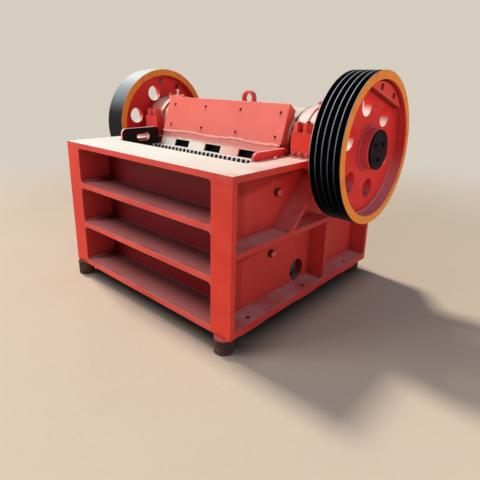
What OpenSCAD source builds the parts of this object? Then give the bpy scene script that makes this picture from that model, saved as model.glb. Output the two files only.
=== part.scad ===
// Single-toggle fine jaw crusher: a welded box frame, a swing jaw hung on an eccentric shaft,
// a grooved drive wheel on the right and a plain flywheel on the left.
// Lengths are in millimetres. X runs across the machine towards the drive wheel,
// Y runs from the feed end to the rear and Z runs up.
// The origin lies on the floor under the middle of the machine.

/* [Frame] */
// Width over the side flanges
frame_w = 1560; // [1520:10:1640]
// Length from the front face to the rear face
frame_d = 1543; // [1500:1:1640]
// Height of the deck top over the underside of the base flanges
deck_h = 880; // [850:5:930]
// Clear width of the crushing chamber between the side plates
chamber_w = 1200; // [1160:10:1210]
// Thickness of the side plates
side_t = 55; // [40:1:60]
// Thickness of the deck and of the sloping rear flanges
flange_t = 35; // [25:1:40]
// Thickness of the base flanges
base_t = 44; // [36:1:50]
// Length of the deck ledges behind the shaft, measured from the shaft
deck_tail = 314; // [300:1:340]
// Height of the side plates at the rear face
rear_h = 560; // [500:5:620]

/* [Front box] */
// Width of the front corner posts
post_w = 145; // [125:1:165]
// Thickness of the front corner posts
post_t = 34; // [26:1:40]
// Depth of the front bays
bay_d = 225; // [190:1:240]
// Thickness of the webs that close the bays at the sides
web_t = 20; // [14:1:28]
// Height of the underside of the upper shelf
shelf_hi_z = 573; // [540:1:600]
// Thickness of the upper shelf
shelf_hi_t = 35; // [25:1:50]
// Height of the underside of the lower shelf
shelf_lo_z = 291; // [260:1:320]
// Thickness of the lower shelf
shelf_lo_t = 35; // [25:1:50]
// Thickness of the bottom plate of the front box
bottom_t = 35; // [25:1:50]
// Radius of the welds in the bay corners
bay_r = 22; // [10:1:40]
// Thickness of the wall behind the fixed jaw plate
wall_t = 30; // [24:1:40]

/* [Side ribs] */
// Thickness of the side ribs
rib_t = 32; // [24:1:40]
// Set-back of the ribs from the outer edge of the flanges
rib_back = 3; // [0:0.5:8]
// Height of the underside of the middle rib
mid_z = 448; // [420:1:470]
// Distance from the front face to the rear face of the upright rib
upright_y = 942; // [920:1:970]
// Distance from the front face to the foot of the sloping rib
brace_y = 496; // [460:1:530]
// Angle of the sloping rib over the level
brace_a = 45; // [42:0.5:48]
// Thickness of the rear upright flange
rear_t = 34; // [26:1:40]
// Diameter of the access hole in the side plates
access_d = 145; // [110:1:160]
// Distance of the access hole from the front face
access_y = 775; // [740:1:800]
// Gap between the base flange's top and the access hole
access_up = 2.5; // [1:0.5:20]

/* [Anchor holes and feet] */
// Diameter of the anchor holes in the base flanges
anchor_d = 26; // [20:1:34]
// Distance of the anchor holes from the outer edge of the base flanges
anchor_in = 46; // [44:1:56]
// Gap between the front support stubs and the first pads
pad_front = 9.5; // [6:0.5:30]
// Gap between the last pads and the rear support stubs
pad_rear = 18.5; // [6:0.5:30]
// Length of the machined pads under the base flanges
pad_l = 203; // [180:1:215]
// Width of the machined pads
pad_w = 84; // [70:1:88]
// Height of the machined pads
pad_h = 10; // [6:0.5:14]
// Diameter of the round support stubs
stub_d = 110; // [90:1:125]
// Height of the round support stubs
stub_h = 95; // [80:1:120]
// Distance of the support stubs from the outer edge of the base flanges
stub_in = 68; // [58:1:76]
// Distance of the front support stubs from the front face
stub_y = 27; // [20:1:31]
// Distance of the rear support stubs from the rear face
stub_rear = 83; // [58:1:90]

/* [Jaw plates] */
// Thickness of the jaw plates behind the teeth
plate_t = 49; // [40:1:56]
// Thickness of the fixed jaw plate behind the teeth
fixed_t = 26; // [20:1:34]
// Height of the teeth
tooth_h = 19; // [12:1:22]
// Distance from one tooth to the next
tooth_p = 40; // [34:1:50]
// Width of a tooth at its tip
tooth_tip = 8; // [5:1:12]
// Feed opening between the tooth tips at the top of the swing jaw plate
gape = 268; // [255:1:275]
// Drop of the swing jaw plate's top below the deck
jaw_drop = 47; // [40:1:60]
// Lean of the swing jaw from the upright
lean = 18; // [17:0.5:18.5]
// Height of the swing jaw plate's lower end
plate_z = 164.4; // [158:0.2:190]
// Height of the fixed jaw plate's lower end
fixed_z = 150; // [130:1:180]
// Play between a jaw plate and the cheek plate beside it
plate_play = 8; // [6:0.5:12]
// Play between the swing jaw's face and the plates clamped to it
plate_seat = 0.1; // [0.05:0.05:0.3]

/* [Cheek plates] */
// Thickness of the cheek plates
cheek_t = 17; // [12:1:22]
// Rise of the left cheek plate over the deck
cheek_rise_left = 77; // [60:1:90]
// Rise of the right cheek plate over the deck
cheek_rise_right = 48; // [40:1:90]
// Distance of the left cheek plate's upper part from the front face
cheek_y_left = 315; // [312:1:350]
// Distance of the right cheek plate's upper part from the front face
cheek_y_right = 364; // [330:1:370]
// Length of the cheek plates' upper part
cheek_l = 322; // [290:1:330]
// Radius of the cheek plates' upper corners
cheek_r = 36; // [20:1:38]
// Length of the hand slot
slot_l = 112; // [80:1:130]
// Height of the hand slot
slot_h = 54; // [36:1:56]
// Depth of the slot's middle below the cheek plate's top
slot_drop = 66; // [60:1:90]
// Distance of the left slot's middle from the cheek plate's front edge
slot_y_left = 180; // [120:1:230]
// Distance of the right slot's middle from the cheek plate's front edge
slot_y_right = 226; // [120:1:230]
// Depth of the cheek plates' front edge below the deck
cheek_front = 60; // [30:1:90]
// Depth of the cheek plates' rear edge below the deck
cheek_drop = 140; // [100:1:180]
// Length of the cheek plates' foot
cheek_foot = 187; // [150:1:220]

/* [Shaft line] */
// Distance of the main shaft from the front face
axis_y = 936; // [925:1:945]
// Height of the main shaft over the deck
axis_rise = 63; // [55:1:75]
// Radius of the crank circle of the eccentric shaft
crank_r = 7; // [5:0.5:8]
// Direction of the counterweights at rest, from the rear level
weight_a = 73.5; // [60:0.5:90]
// Diameter of the main journals
journal_d = 170; // [150:1:180]
// Diameter of the eccentric part
crank_d = 210; // [200:1:230]
// Running play round the shaft in its bearings
bearing_play = 0.4; // [0.3:0.05:0.6]

/* [Bearing housings] */
// Radius of the housing barrel
barrel_r = 226; // [220:1:232]
// Radius of the housing's inner ring
ring_r = 219; // [210:1:219]
// Length of the housing barrel
barrel_l = 142; // [130:1:150]
// Gap between the side plate and the housing barrel
barrel_gap = 25; // [10:1:30]
// Reach of the inner ring into the chamber
ring_reach = 10; // [4:1:16]
// Distance between the outer faces of a housing's front and rear lugs
lug_span = 550; // [540:1:570]
// Width of the lugs
lug_w = 140; // [120:1:145]
// Height of the lugs
lug_h = 138; // [110:1:150]
// Distance of the lugs from the chamber wall
lug_x = 32; // [20:1:38]
// Height of the machined seats under the lugs
seat_h = 10; // [6:0.5:14]
// Diameter of the cap bolts' sleeves
bolt_d = 52; // [40:1:56]
// Height of the cap bolts' sleeves
bolt_h = 40; // [30:1:50]
// Height of the cap bolts' domed tops
bolt_top = 15; // [8:1:20]
// Distance between the two bolts of a lug
bolt_pitch = 67; // [62:1:76]
// Set-in of the cap nuts from the middle of their lug
bolt_in = 6; // [0:1:8]
// Radius of the flange round the inner end of the housing barrel
collar_r = 234; // [232:1:240]
// Distance of the grease point in front of the shaft
grease_y = 76; // [40:1:100]
// Height of the grease point over the barrel
grease_h = 37; // [16:1:44]
// Diameter of the grease point
grease_d = 30; // [20:1:36]
// Play between the housing and the edges of the frame round it
housing_play = 0.3; // [0.2:0.05:0.5]

/* [Wheels] */
// Diameter of the wheels
wheel_d = 875; // [840:1:890]
// Width of the wheel rims
wheel_w = 190; // [180:1:200]
// Thickness of the wheel rims
rim_t = 49; // [42:1:60]
// Thickness of the wheel webs
wheel_web = 50; // [40:1:60]
// Diameter of the wheel hubs
hub_d = 240; // [220:1:260]
// Number of belt grooves
groove_n = 5; // [3:1:5]
// Distance from one belt groove to the next
groove_p = 37; // [35:1:38]
// Depth of the belt grooves
groove_h = 28; // [20:1:30]
// Width of the belt grooves at the rim
groove_w = 32; // [26:1:33]
// Width of the belt grooves at their bottom
groove_b = 15; // [10:1:20]
// Number of round holes in the webs
hole_n = 6; // [4:1:6]
// Diameter of the round holes in the webs
hole_d = 120; // [90:1:130]
// Distance from the rim's inner face to the middle of a hole
hole_in = 135.5; // [130:0.5:145]
// Distance from the housing barrel to the wheel rim
wheel_gap = 41; // [30:1:50]
// Reach of the hub past the inner face of the rim
hub_in = 20; // [10:1:28]
// Thickness of the end discs
disc_t = 12; // [8:1:20]
// Diameter of the end discs
disc_d = 228; // [200:1:236]
// Set-back of the end disc's inner face from the rim's outer face
disc_back = 8; // [4:1:14]
// Thickness of the counterweights
weight_t = 45; // [30:1:60]
// Depth of a counterweight, from the rim's inner face to its flat edge
weight_h = 89.5; // [70:0.5:98]
// Distance from the rim's inner face to the counterweight bolts
weight_bolt_in = 40.5; // [34:0.5:48]
// Angle between the two counterweight bolts
weight_bolt_a = 30; // [24:1:36]
// Diameter of the counterweight bolt holes
weight_bolt_d = 40; // [26:1:44]

/* [Swing jaw] */
// Radius of the swing jaw's barrel
head_r = 214; // [205:1:218]
// Gap between the swing jaw's barrel and the housing rings
head_gap = 10; // [6:1:14]
// Set-back of the swing jaw's body from the ends of its jaw plate
body_inset = 28; // [20:1:36]
// Thickness of the swing jaw's front slab
slab_t = 55; // [45:1:65]
// Thickness of the swing jaw's back ribs
jaw_rib_t = 30; // [22:1:40]
// Thickness of the ledge under the swing jaw plate
ledge_t = 28; // [20:1:34]
// Height of the apron over the top of the jaw plate, along the slope
apron_l = 113; // [105:1:125]
// Thickness of the apron
apron_t = 8; // [6:0.5:12]
// Foot of the clamping lips, standing forward over the jaw plate
lip_foot = 10; // [9:0.5:14]
// Height of the clamping lips
lip_h = 50; // [40:1:60]
// Width of the notches between the lips
notch_w = 152; // [120:1:180]
// Distance from one notch to the next
notch_p = 315; // [290:1:330]
// Depth of the pockets behind the notches
pocket_d = 36; // [20:1:42]
// Length of the guard plate along the slope
guard_l = 248; // [240:1:275]
// Thickness of the guard plate
guard_t = 8; // [5:0.5:10]
// Distance between the outer gussets behind the guard plate
guard_span = 988; // [940:4:1000]
// Thickness of the gussets behind the guard plate
gusset_t = 26; // [16:1:40]
// Depth of the guard plate's side flanges
guard_d = 62; // [40:1:80]
// Drop of the side flanges' rear corners below the guard plate's top edge
guard_drop = 20; // [0:1:40]
// Reach of the guard plate past the swing jaw's body at each side
guard_side = 9; // [8.5:0.5:12]
// Radius of the lifting eye
eye_r = 57; // [50:1:62]
// Radius of the hole in the lifting eye
eye_hole_r = 37; // [28:1:40]
// Thickness of the lifting eye
eye_t = 43; // [36:1:56]
// Radius of the lifting eye's rounded edges
eye_edge = 8; // [3:0.5:9]
// Spread of the lifting eye's foot past the ring at each side
eye_foot = 9; // [4:1:16]
// Height of the eye's hole over the barrel
eye_rise = 49; // [42:1:54]
// Distance of the eye behind the shaft
eye_back = 80; // [0:1:90]

/* [Toggle and tension rods] */
// Thickness of the toggle plate
toggle_t = 44; // [36:1:50]
// Width of the toggle plate
toggle_w = 900; // [800:10:960]
// Height of the toggle plate's rear end
toggle_rear_z = 330; // [315:1:345]
// Distance of the toggle plate's rear end from the front face
toggle_rear_y = 948; // [940:1:965]
// Height of the toggle seat's middle over the swing jaw plate's lower end, along the slope
seat_up = 103; // [95:1:115]
// Radius of the toggle seats
toggle_r = 23; // [22.5:0.5:27]
// Thickness of the shim pack
shim_t = 20; // [10:1:34]
// Height of the shim pack
shim_h = 80; // [60:1:90]
// Thickness of the toggle seat block
block_t = 60; // [50:1:70]
// Height of the toggle seat block
block_h = 96; // [80:1:110]
// Reach of the toggle seats past the toggle plate at each side
seat_side = 20; // [10:1:30]
// Height of the opening in the rear wall
hatch_h = 150; // [100:1:170]
// Thickness of the cross beam behind the toggle
beam_t = 100; // [70:1:130]
// Height of the cross beam
beam_h = 280; // [240:1:300]
// Height of the cross beam's underside
beam_z = 200; // [190:1:215]
// Thickness of the rear wall
rear_wall_t = 35; // [25:1:45]
// Clearance between the orbiting swing jaw and the frame's own pieces
swing_gap = 5; // [5:0.5:8]
// Distance between the two tension rods
rod_span = 520; // [440:10:640]
// Diameter of the tension rods
rod_d = 32; // [26:1:36]
// Height of the tension rods
rod_z = 140; // [132:1:144]
// Length of the springs on the tension rods
spring_l = 120; // [100:1:150]
// Mean radius of the springs
spring_r = 42; // [38:1:48]
// Diameter of the spring wire
wire_d = 16; // [12:1:18]
// Turns of the springs
spring_n = 5; // [4:1:6]
// Thickness of the spring washers
washer_t = 12; // [8:1:16]
// Height of the rod nuts
nut_h = 24; // [18:1:30]
// Length of thread past the nuts
tail_l = 26; // [10:1:40]

/* [Hidden] */
$fn = 64;
// Inner and outer face of the side plates
hc = chamber_w / 2;
so = hc + side_t;
fo = frame_w / 2;
rib_x = fo - rib_back;
// Underside of the deck
deck_z = deck_h - flange_t;
// Front bays
bay_x = so - web_t;
access_z = base_t + access_up + access_d / 2;
// Stubs and anchor holes
stub_x = fo - stub_in;
stub_y_rear = frame_d - stub_rear;
anchor_x = fo - anchor_in;
anchor_y = stub_y + stub_d / 2 + pad_front + pad_l / 2;
anchor_pitch = (stub_y_rear - stub_d / 2 - pad_rear - pad_l / 2 - anchor_y) / 2;
mouth_y = bay_d + wall_t + fixed_t + tooth_h;
fixed_y = bay_d + wall_t;
// Front corner of the jaw plate's back, at its top
jaw_z = deck_h - jaw_drop;
plate_depth = (plate_t + tooth_h) / cos(lean);
jaw_y = mouth_y + gape + plate_depth;
plate_l = (jaw_z - plate_z) / cos(lean);
plate_x = hc - cheek_t - plate_play;
fixed_x = hc - 2;
// Shaft centres
axis_z = deck_h + axis_rise;
crank_y = axis_y - crank_r * cos(weight_a);
crank_z = axis_z - crank_r * sin(weight_a);
orbit = crank_r + swing_gap;
// Housings and wheels along the shaft
ring_x = hc - ring_reach;
barrel_x = so + barrel_gap;
barrel_end = barrel_x + barrel_l;
wheel_x = barrel_end + wheel_gap;
wheel_r = wheel_d / 2;
rim_r = wheel_r - rim_t;
hole_r = rim_r - hole_in;
weight_y = rim_r - weight_h;
weight_bolt_r = rim_r - weight_bolt_in;
wheel_web_x = (wheel_w - wheel_web) / 2;
hub_end = wheel_w - disc_back;
shaft_end = wheel_x + hub_end;
head_x = ring_x - head_gap;
body_x = plate_x - body_inset;
guard_x = body_x + guard_side;
lug_y = lug_span / 2;
lug_x0 = hc + lug_x;
lug_z = deck_h + seat_h;
bolt_y = lug_y - bolt_d / 2 - 2;
// Slope of the frame at the rear
slope_y = axis_y + deck_tail;
slope_a = atan2(deck_h - rear_h, frame_d - slope_y);
slope_l = (frame_d - slope_y) / cos(slope_a);
// Rear pieces
block_y = toggle_rear_y - 8;
shim_y = block_y + block_t;
beam_y = shim_y + shim_t;
rear_wall_y = frame_d - rear_t - rear_wall_t;
seat_u = 150;
seat_v = plate_l - seat_up;
rod_u = 118;
rod_hole_r = rod_d / 2 + orbit + 4;
spring_y = frame_d - rear_t;
washer_y = spring_y + spring_l + 0.6;
nut_y = washer_y + washer_t;
rod_end_y = nut_y + 2 * nut_h + tail_l;
// Middle of the machine's whole length
mid_y = (stub_y - stub_d / 2 + rod_end_y) / 2;
big = 4000;

red = [0.84, 0.27, 0.19];
side_red = [0.66, 0.20, 0.17];
orange = [0.90, 0.49, 0.24];
black = [0.09, 0.09, 0.10];
iron = [0.36, 0.34, 0.33];
steel = [0.62, 0.62, 0.62];

// A point on the swing jaw: u runs to the back, square to the jaw plate, and v runs up along it
function jp(u, v) = [jaw_y + u * cos(lean) + v * sin(lean), jaw_z - u * sin(lean) + v * cos(lean)];
// The swing jaw's front plane at height z, or the plane at the depth u behind it
function face_y(z, u = 0) = jaw_y + (z - jaw_z) * tan(lean) + u / cos(lean);
// The seat of the toggle plate on the swing jaw, and the middle of the rod lugs
toggle_c = jp(seat_u, -seat_v);
// The middle of the orbit, seen from the place of rest
orbit_mid = [crank_r * cos(weight_a), crank_r * sin(weight_a)];
toggle_front = toggle_c + orbit_mid;
toggle_a = atan2(toggle_rear_z - toggle_front[1], toggle_rear_y - toggle_front[0]);
toggle_l = norm([toggle_rear_y, toggle_rear_z] - toggle_front);
rod_y = jp(rod_u, -plate_l)[0] + (jp(rod_u, -plate_l)[1] - rod_z) * tan(lean);

// Places a piece of the machine on its stubs, over the origin
module placed() {
    translate([0, -mid_y, stub_h]) children();
}
// Draws a piece on the right side, or its mirror image on the left
module on_side(s) {
    if (s > 0) children();
    else mirror([1, 0, 0]) children();
}
// A slab across the machine from x0 to x1, with its outline drawn in Y and Z
module across(x0, x1) {
    translate([x0, 0, 0]) rotate([90, 0, 90]) linear_extrude(height = x1 - x0) children();
}
// A cylinder along X
module bar_x(x0, x1, r, y = 0, z = 0) {
    translate([x0, y, z]) rotate([0, 90, 0]) cylinder(h = x1 - x0, r = r);
}
// A cylinder along Y
module bar_y(y0, y1, r, x = 0, z = 0) {
    translate([x, y0, z]) rotate([-90, 0, 0]) cylinder(h = y1 - y0, r = r);
}
module box(x0, x1, y0, y1, z0, z1) {
    translate([x0, y0, z0]) cube([x1 - x0, y1 - y0, z1 - z0]);
}
// A weld fillet in a corner of the front bays, with its corner at x and z
module bay_fillet(x, z, dx, dz, y1 = bay_d) {
    translate([x, y1, z]) rotate([90, 0, 0]) linear_extrude(height = y1)
        scale([dx, dz]) difference() {
            square(bay_r);
            translate([bay_r, bay_r]) circle(r = bay_r);
        }
}

// The frame
module deck_outline_cut() {
    box(-hc, hc, mouth_y, big, deck_z - 1, deck_h + 1);
}
module deck_plate() {
    color(red) placed() difference() {
        union() {
            box(-fo, fo, 0, axis_y, deck_z, deck_h);
            for (s = [-1, 1]) bay_fillet(s * bay_x, deck_z, -s, -1);
            for (s = [-1, 1]) on_side(s)
                box(lug_x0 - 6, lug_x0 + lug_w + 6, axis_y - lug_y - 6, axis_y, deck_h - 1, lug_z);
        }
        deck_outline_cut();
        bar_x(-big / 2, big / 2, barrel_r + housing_play, axis_y, axis_z);
    }
}
module front_wall() {
    color(side_red) placed() box(-hc, hc, bay_d, bay_d + wall_t, bottom_t, deck_z);
}
module shelf(z0, t) {
    box(-bay_x, bay_x, 0, bay_d, z0, z0 + t);
    for (s = [-1, 1]) {
        bay_fillet(s * bay_x, z0, -s, -1);
        bay_fillet(s * bay_x, z0 + t, -s, 1);
    }
}
module upper_shelf() {
    color(red) placed() shelf(shelf_hi_z, shelf_hi_t);
}
module lower_shelf() {
    color(red) placed() shelf(shelf_lo_z, shelf_lo_t);
}
module bottom_plate() {
    color(red) placed() {
        box(-bay_x, bay_x, 0, bay_d, 0, bottom_t);
        box(-hc, hc, bay_d - 1, bay_d + wall_t, 0, bottom_t);
        for (s = [-1, 1]) bay_fillet(s * bay_x, bottom_t, -s, 1);
    }
}
module corner_post(s) {
    color(red) placed() on_side(s) {
        box(bay_x, fo, 0, post_t, 0, deck_z);
        box(bay_x, so, post_t - 1, bay_d, 0, deck_z);
    }
}
module corner_post_left() { corner_post(-1); }
module corner_post_right() { corner_post(1); }

module side_plate(s) {
    color(side_red) placed() on_side(s) difference() {
        across(hc, so) polygon([[bay_d, 0], [frame_d, 0],
            [frame_d, rear_h - flange_t], [slope_y, deck_z], [bay_d, deck_z]]);
        bar_x(hc - 1, so + 1, ring_r + housing_play, axis_y, axis_z);
        bar_x(hc - 1, so + 1, access_d / 2, access_y, access_z);
    }
}
module side_plate_left() { side_plate(-1); }
module side_plate_right() { side_plate(1); }

module base_flange(s) {
    color(side_red) placed() on_side(s) difference() {
        union() {
            box(so, fo, post_t, frame_d, 0, base_t);
            for (i = [0:2]) translate([anchor_x, anchor_y + i * anchor_pitch, 0])
                box(-pad_w / 2, pad_w / 2, -pad_l / 2, pad_l / 2, -pad_h, 1);
        }
        for (i = [0:2]) translate([anchor_x, anchor_y + i * anchor_pitch, -pad_h - 1])
            cylinder(h = base_t + pad_h + 2, d = anchor_d);
    }
}
module base_flange_left() { base_flange(-1); }
module base_flange_right() { base_flange(1); }

// The middle rib, the upright rib under its end and the sloping rib up to the deck
module side_ribs(s) {
    brace_v = deck_z - mid_z - rib_t;
    brace_w = rib_t / sin(brace_a);
    color(side_red) placed() on_side(s) difference() {
        across(so, rib_x) union() {
            difference() {
                translate([post_t, mid_z]) square([upright_y - post_t, rib_t]);
                translate([upright_y - 14, mid_z + rib_t - 14]) difference() {
                    square(20);
                    circle(r = 14);
                }
            }
            translate([upright_y - rib_t, base_t]) square([rib_t, mid_z - base_t + 1]);
            polygon([[brace_y, mid_z + rib_t - 1], [brace_y + brace_w, mid_z + rib_t - 1],
                [brace_y + brace_w + brace_v / tan(brace_a), deck_z],
                [brace_y + brace_v / tan(brace_a), deck_z]]);
        }
        bar_x(so - 1, rib_x + 1, barrel_r + housing_play, axis_y, axis_z);
    }
}
module side_ribs_left() { side_ribs(-1); }
module side_ribs_right() { side_ribs(1); }

// The deck ledge behind the bearing, the sloping flange and the rear upright flange
module rear_flange(s) {
    color(side_red) placed() on_side(s) difference() {
        union() {
            box(hc, fo, axis_y, slope_y, deck_z, deck_h);
            box(lug_x0 - 6, lug_x0 + lug_w + 6, axis_y, axis_y + lug_y + 6, deck_h - 1, lug_z);
            across(hc, fo) polygon([[slope_y, deck_h], [slope_y, deck_z],
                [frame_d, rear_h - flange_t], [frame_d, rear_h]]);
            across(so, fo) polygon([[frame_d - rear_t, base_t], [frame_d, base_t],
                [frame_d, rear_h - flange_t + 1],
                [frame_d - rear_t, rear_h - flange_t + rear_t * tan(slope_a) + 1]]);
        }
        bar_x(hc - 1, fo + 1, barrel_r + housing_play, axis_y, axis_z);
    }
}
module rear_flange_left() { rear_flange(-1); }
module rear_flange_right() { rear_flange(1); }

module rear_wall() {
    color(side_red) placed() difference() {
        box(-hc, hc, rear_wall_y, rear_wall_y + rear_wall_t, 0, rear_h - flange_t - 10);
        for (s = [-1, 1]) bar_y(rear_wall_y - 1, rear_wall_y + rear_wall_t + 1,
            rod_hole_r, s * rod_span / 2, rod_z + orbit_mid[1]);
        // The opening through which the toggle is reached
        box(-hc / 2, hc / 2, rear_wall_y - 1, rear_wall_y + rear_wall_t + 1,
            toggle_rear_z - hatch_h / 2, toggle_rear_z + hatch_h / 2);
    }
}
module toggle_beam() {
    color(side_red) placed() box(-hc, hc, beam_y, beam_y + beam_t, beam_z, beam_z + beam_h);
}
// The rear toggle seat with its pack of shims
module toggle_block() {
    color(iron) placed() difference() {
        union() {
            box(-toggle_w / 2 - seat_side, toggle_w / 2 + seat_side, block_y, shim_y,
                toggle_rear_z - block_h / 2, toggle_rear_z + block_h / 2);
            box(-toggle_w / 2, toggle_w / 2, shim_y - 1, beam_y,
                toggle_rear_z - shim_h / 2, toggle_rear_z + shim_h / 2);
        }
        bar_x(-toggle_w, toggle_w, toggle_r + housing_play, toggle_rear_y, toggle_rear_z);
        across(-toggle_w, toggle_w) translate([toggle_rear_y, toggle_rear_z]) rotate(toggle_a)
            translate([-block_t, -toggle_r - 1]) square([block_t, 2 * toggle_r + 2]);
    }
}
// The toggle plate: its rear end lies in the block and its front end stands clear of the jaw's seat
module toggle_plate() {
    color(iron) placed() across(-toggle_w / 2, toggle_w / 2)
        translate(toggle_front) rotate(toggle_a) {
            circle(r = toggle_r);
            translate([toggle_l, 0]) circle(r = toggle_r);
            translate([0, -toggle_t / 2]) square([toggle_l, toggle_t]);
        }
}

// The toothed outline of a jaw plate seen from its end: half width w, back at y = 0, teeth to -y
module toothed(w, body) {
    n = floor((2 * w - tooth_tip) / tooth_p);
    x0 = -n * tooth_p / 2;
    g = tooth_p - tooth_tip;
    polygon(concat(
        [[-w, 0], [-w, -body - tooth_h], [x0 + tooth_tip / 2, -body - tooth_h]],
        [for (i = [0:n - 1]) for (k = [1:5])
            let (q = [0.1, 0.3, 0.5, 0.7, 0.9][k - 1])
            [x0 + i * tooth_p + tooth_tip / 2 + q * g,
             -body - tooth_h + tooth_h * sqrt(1 - pow(2 * q - 1, 2))]],
        [for (i = [0:0]) [x0 + n * tooth_p - tooth_tip / 2, -body - tooth_h]],
        [[w, -body - tooth_h], [w, 0]]));
}
module fixed_jaw_plate() {
    color(iron) placed() translate([0, fixed_y, fixed_z]) mirror([0, 1, 0])
        linear_extrude(height = deck_z - fixed_z) toothed(fixed_x, fixed_t);
}

// A cheek plate: the liner down the chamber wall and the part with the hand slot above the deck
module cheek_plate(s, y0, rise, slot_y) {
    top = deck_h + rise;
    y1 = y0 + cheek_l;
    color(s > 0 ? red : black) placed() on_side(s) difference() {
        across(hc - cheek_t, hc) polygon([[mouth_y + 3, fixed_z], [mouth_y + 3, deck_z - cheek_front],
            [y0, deck_h - cheek_front], [y0, top], [y1, top], [y1, deck_h - cheek_drop],
            [mouth_y + 3 + cheek_foot, fixed_z]]);
        for (k = [0, 1]) across(hc - cheek_t - 1, hc + 1) translate([k == 0 ? y0 : y1, top])
            mirror([k, 0]) difference() {
                translate([-1, -cheek_r]) square(cheek_r + 1);
                translate([cheek_r, -cheek_r]) circle(r = cheek_r);
            }
        across(hc - cheek_t - 1, hc + 1) translate([y0 + slot_y, top - slot_drop]) {
            square([slot_l - slot_h, slot_h], center = true);
            for (k = [-1, 1]) translate([k * (slot_l - slot_h) / 2, 0]) circle(d = slot_h);
        }
    }
}
module cheek_plate_left() { cheek_plate(-1, cheek_y_left, cheek_rise_left, slot_y_left); }
module cheek_plate_right() { cheek_plate(1, cheek_y_right, cheek_rise_right, slot_y_right); }

// A bearing housing: the round barrel, its inner ring, and the lugs with their cap bolts
module bearing_housing(s) {
    grease_top = sqrt(barrel_r * barrel_r - grease_y * grease_y) + grease_h;
    color(red) placed() on_side(s) difference() {
        union() {
            bar_x(ring_x, barrel_x + 1, ring_r, axis_y, axis_z);
            bar_x(barrel_x, barrel_end, barrel_r, axis_y, axis_z);
            bar_x(barrel_end - 1, barrel_end + 10, barrel_r - 40, axis_y, axis_z);
            // The flange over the frame's side plate, above the lugs' seats
            difference() {
                bar_x(so - 8, barrel_x + 2, collar_r, axis_y, axis_z);
                box(so - 9, barrel_x + 3, 0, frame_d, 0, lug_z);
            }
            box(lug_x0, lug_x0 + lug_w, axis_y - lug_y, axis_y + lug_y, lug_z, lug_z + lug_h);
            // The flanks that run from the barrel down to the lugs
            across(lug_x0 + 12, lug_x0 + lug_w - 12) polygon([
                [axis_y - lug_y + bolt_d + 8, lug_z + lug_h - 1],
                [axis_y - barrel_r * 0.76, axis_z + barrel_r * 0.64],
                [axis_y + barrel_r * 0.76, axis_z + barrel_r * 0.64],
                [axis_y + lug_y - bolt_d - 8, lug_z + lug_h - 1]]);
            for (ky = [-1, 1]) for (kx = [-1, 1])
                translate([lug_x0 + lug_w / 2 - bolt_in + kx * bolt_pitch / 2, axis_y + ky * bolt_y,
                    lug_z + lug_h - 1]) {
                    cylinder(h = bolt_h + 1, d = bolt_d);
                    translate([0, 0, bolt_h + 1]) cylinder(h = bolt_top, d1 = bolt_d, d2 = bolt_d * 0.55);
                }
            // The grease point on the barrel
            translate([barrel_x + grease_d / 2, axis_y - grease_y, axis_z + barrel_r / 2])
                cylinder(h = grease_top - barrel_r / 2, d = grease_d);
        }
        bar_x(ring_x - 1, barrel_end + 11, journal_d / 2 + bearing_play, axis_y, axis_z);
    }
}
module bearing_housing_left() { bearing_housing(-1); }
module bearing_housing_right() { bearing_housing(1); }

module stub(s, y) {
    color(black) placed() translate([s * stub_x, y, -stub_h]) cylinder(h = stub_h, d = stub_d);
}
module stub_front_left() { stub(-1, stub_y); }
module stub_front_right() { stub(1, stub_y); }
module stub_rear_left() { stub(-1, stub_y_rear); }
module stub_rear_right() { stub(1, stub_y_rear); }

// The rotor
module eccentric_shaft() {
    color(steel) placed() {
        bar_x(-shaft_end, shaft_end, journal_d / 2, axis_y, axis_z);
        bar_x(-head_x, head_x, crank_d / 2, crank_y, crank_z);
    }
}
// The wheel's section: radius across, and the distance from the rim's inner face along the shaft
module wheel_section(grooves) {
    r0 = journal_d / 2;
    wx0 = wheel_web_x;
    wx1 = wheel_web_x + wheel_web;
    hr = hub_d / 2;
    c = 8;
    first = (wheel_w - (grooves - 1) * groove_p) / 2;
    rim = [for (i = [0:1:grooves - 1]) for (k = [0:3])
        [wheel_r - (k == 1 || k == 2 ? groove_h : 0),
         first + i * groove_p + [-groove_w / 2, -groove_b / 2, groove_b / 2, groove_w / 2][k]]];
    polygon(concat([[r0, -hub_in], [hr - 10, -hub_in], [hr, -hub_in + 10], [hr, wx0 - c], [hr + c, wx0],
        [rim_r - c, wx0], [rim_r, wx0 - c], [rim_r, 2], [rim_r + 2, 0], [wheel_r - 2, 0], [wheel_r, 2]],
        rim,
        [[wheel_r, wheel_w - 2], [wheel_r - 2, wheel_w], [rim_r + 2, wheel_w], [rim_r, wheel_w - 2],
        [rim_r, wx1 + c], [rim_r - c, wx1], [hr + 10, wx1], [hr + 10, wx1 + 10],
        [hr, wx1 + 12], [hr, hub_end - 3], [hr - 3, hub_end], [r0, hub_end]]));
}
module wheel(s, grooves) {
    color(s > 0 ? black : iron) placed() on_side(s) translate([wheel_x, axis_y, axis_z]) difference() {
        rotate([0, 90, 0]) rotate_extrude($fn = 96) wheel_section(grooves);
        for (i = [0:hole_n - 1]) rotate([weight_a + (i + 0.5) * 360 / hole_n, 0, 0])
            bar_x(0, wheel_w, hole_d / 2, hole_r, 0);
        for (k = [-1, 1]) rotate([weight_a + k * weight_bolt_a / 2, 0, 0])
            bar_x(0, wheel_w, weight_bolt_d / 2, weight_bolt_r, 0);
    }
}
module sheave() { wheel(1, groove_n); }
module flywheel() { wheel(-1, 0); }

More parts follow.
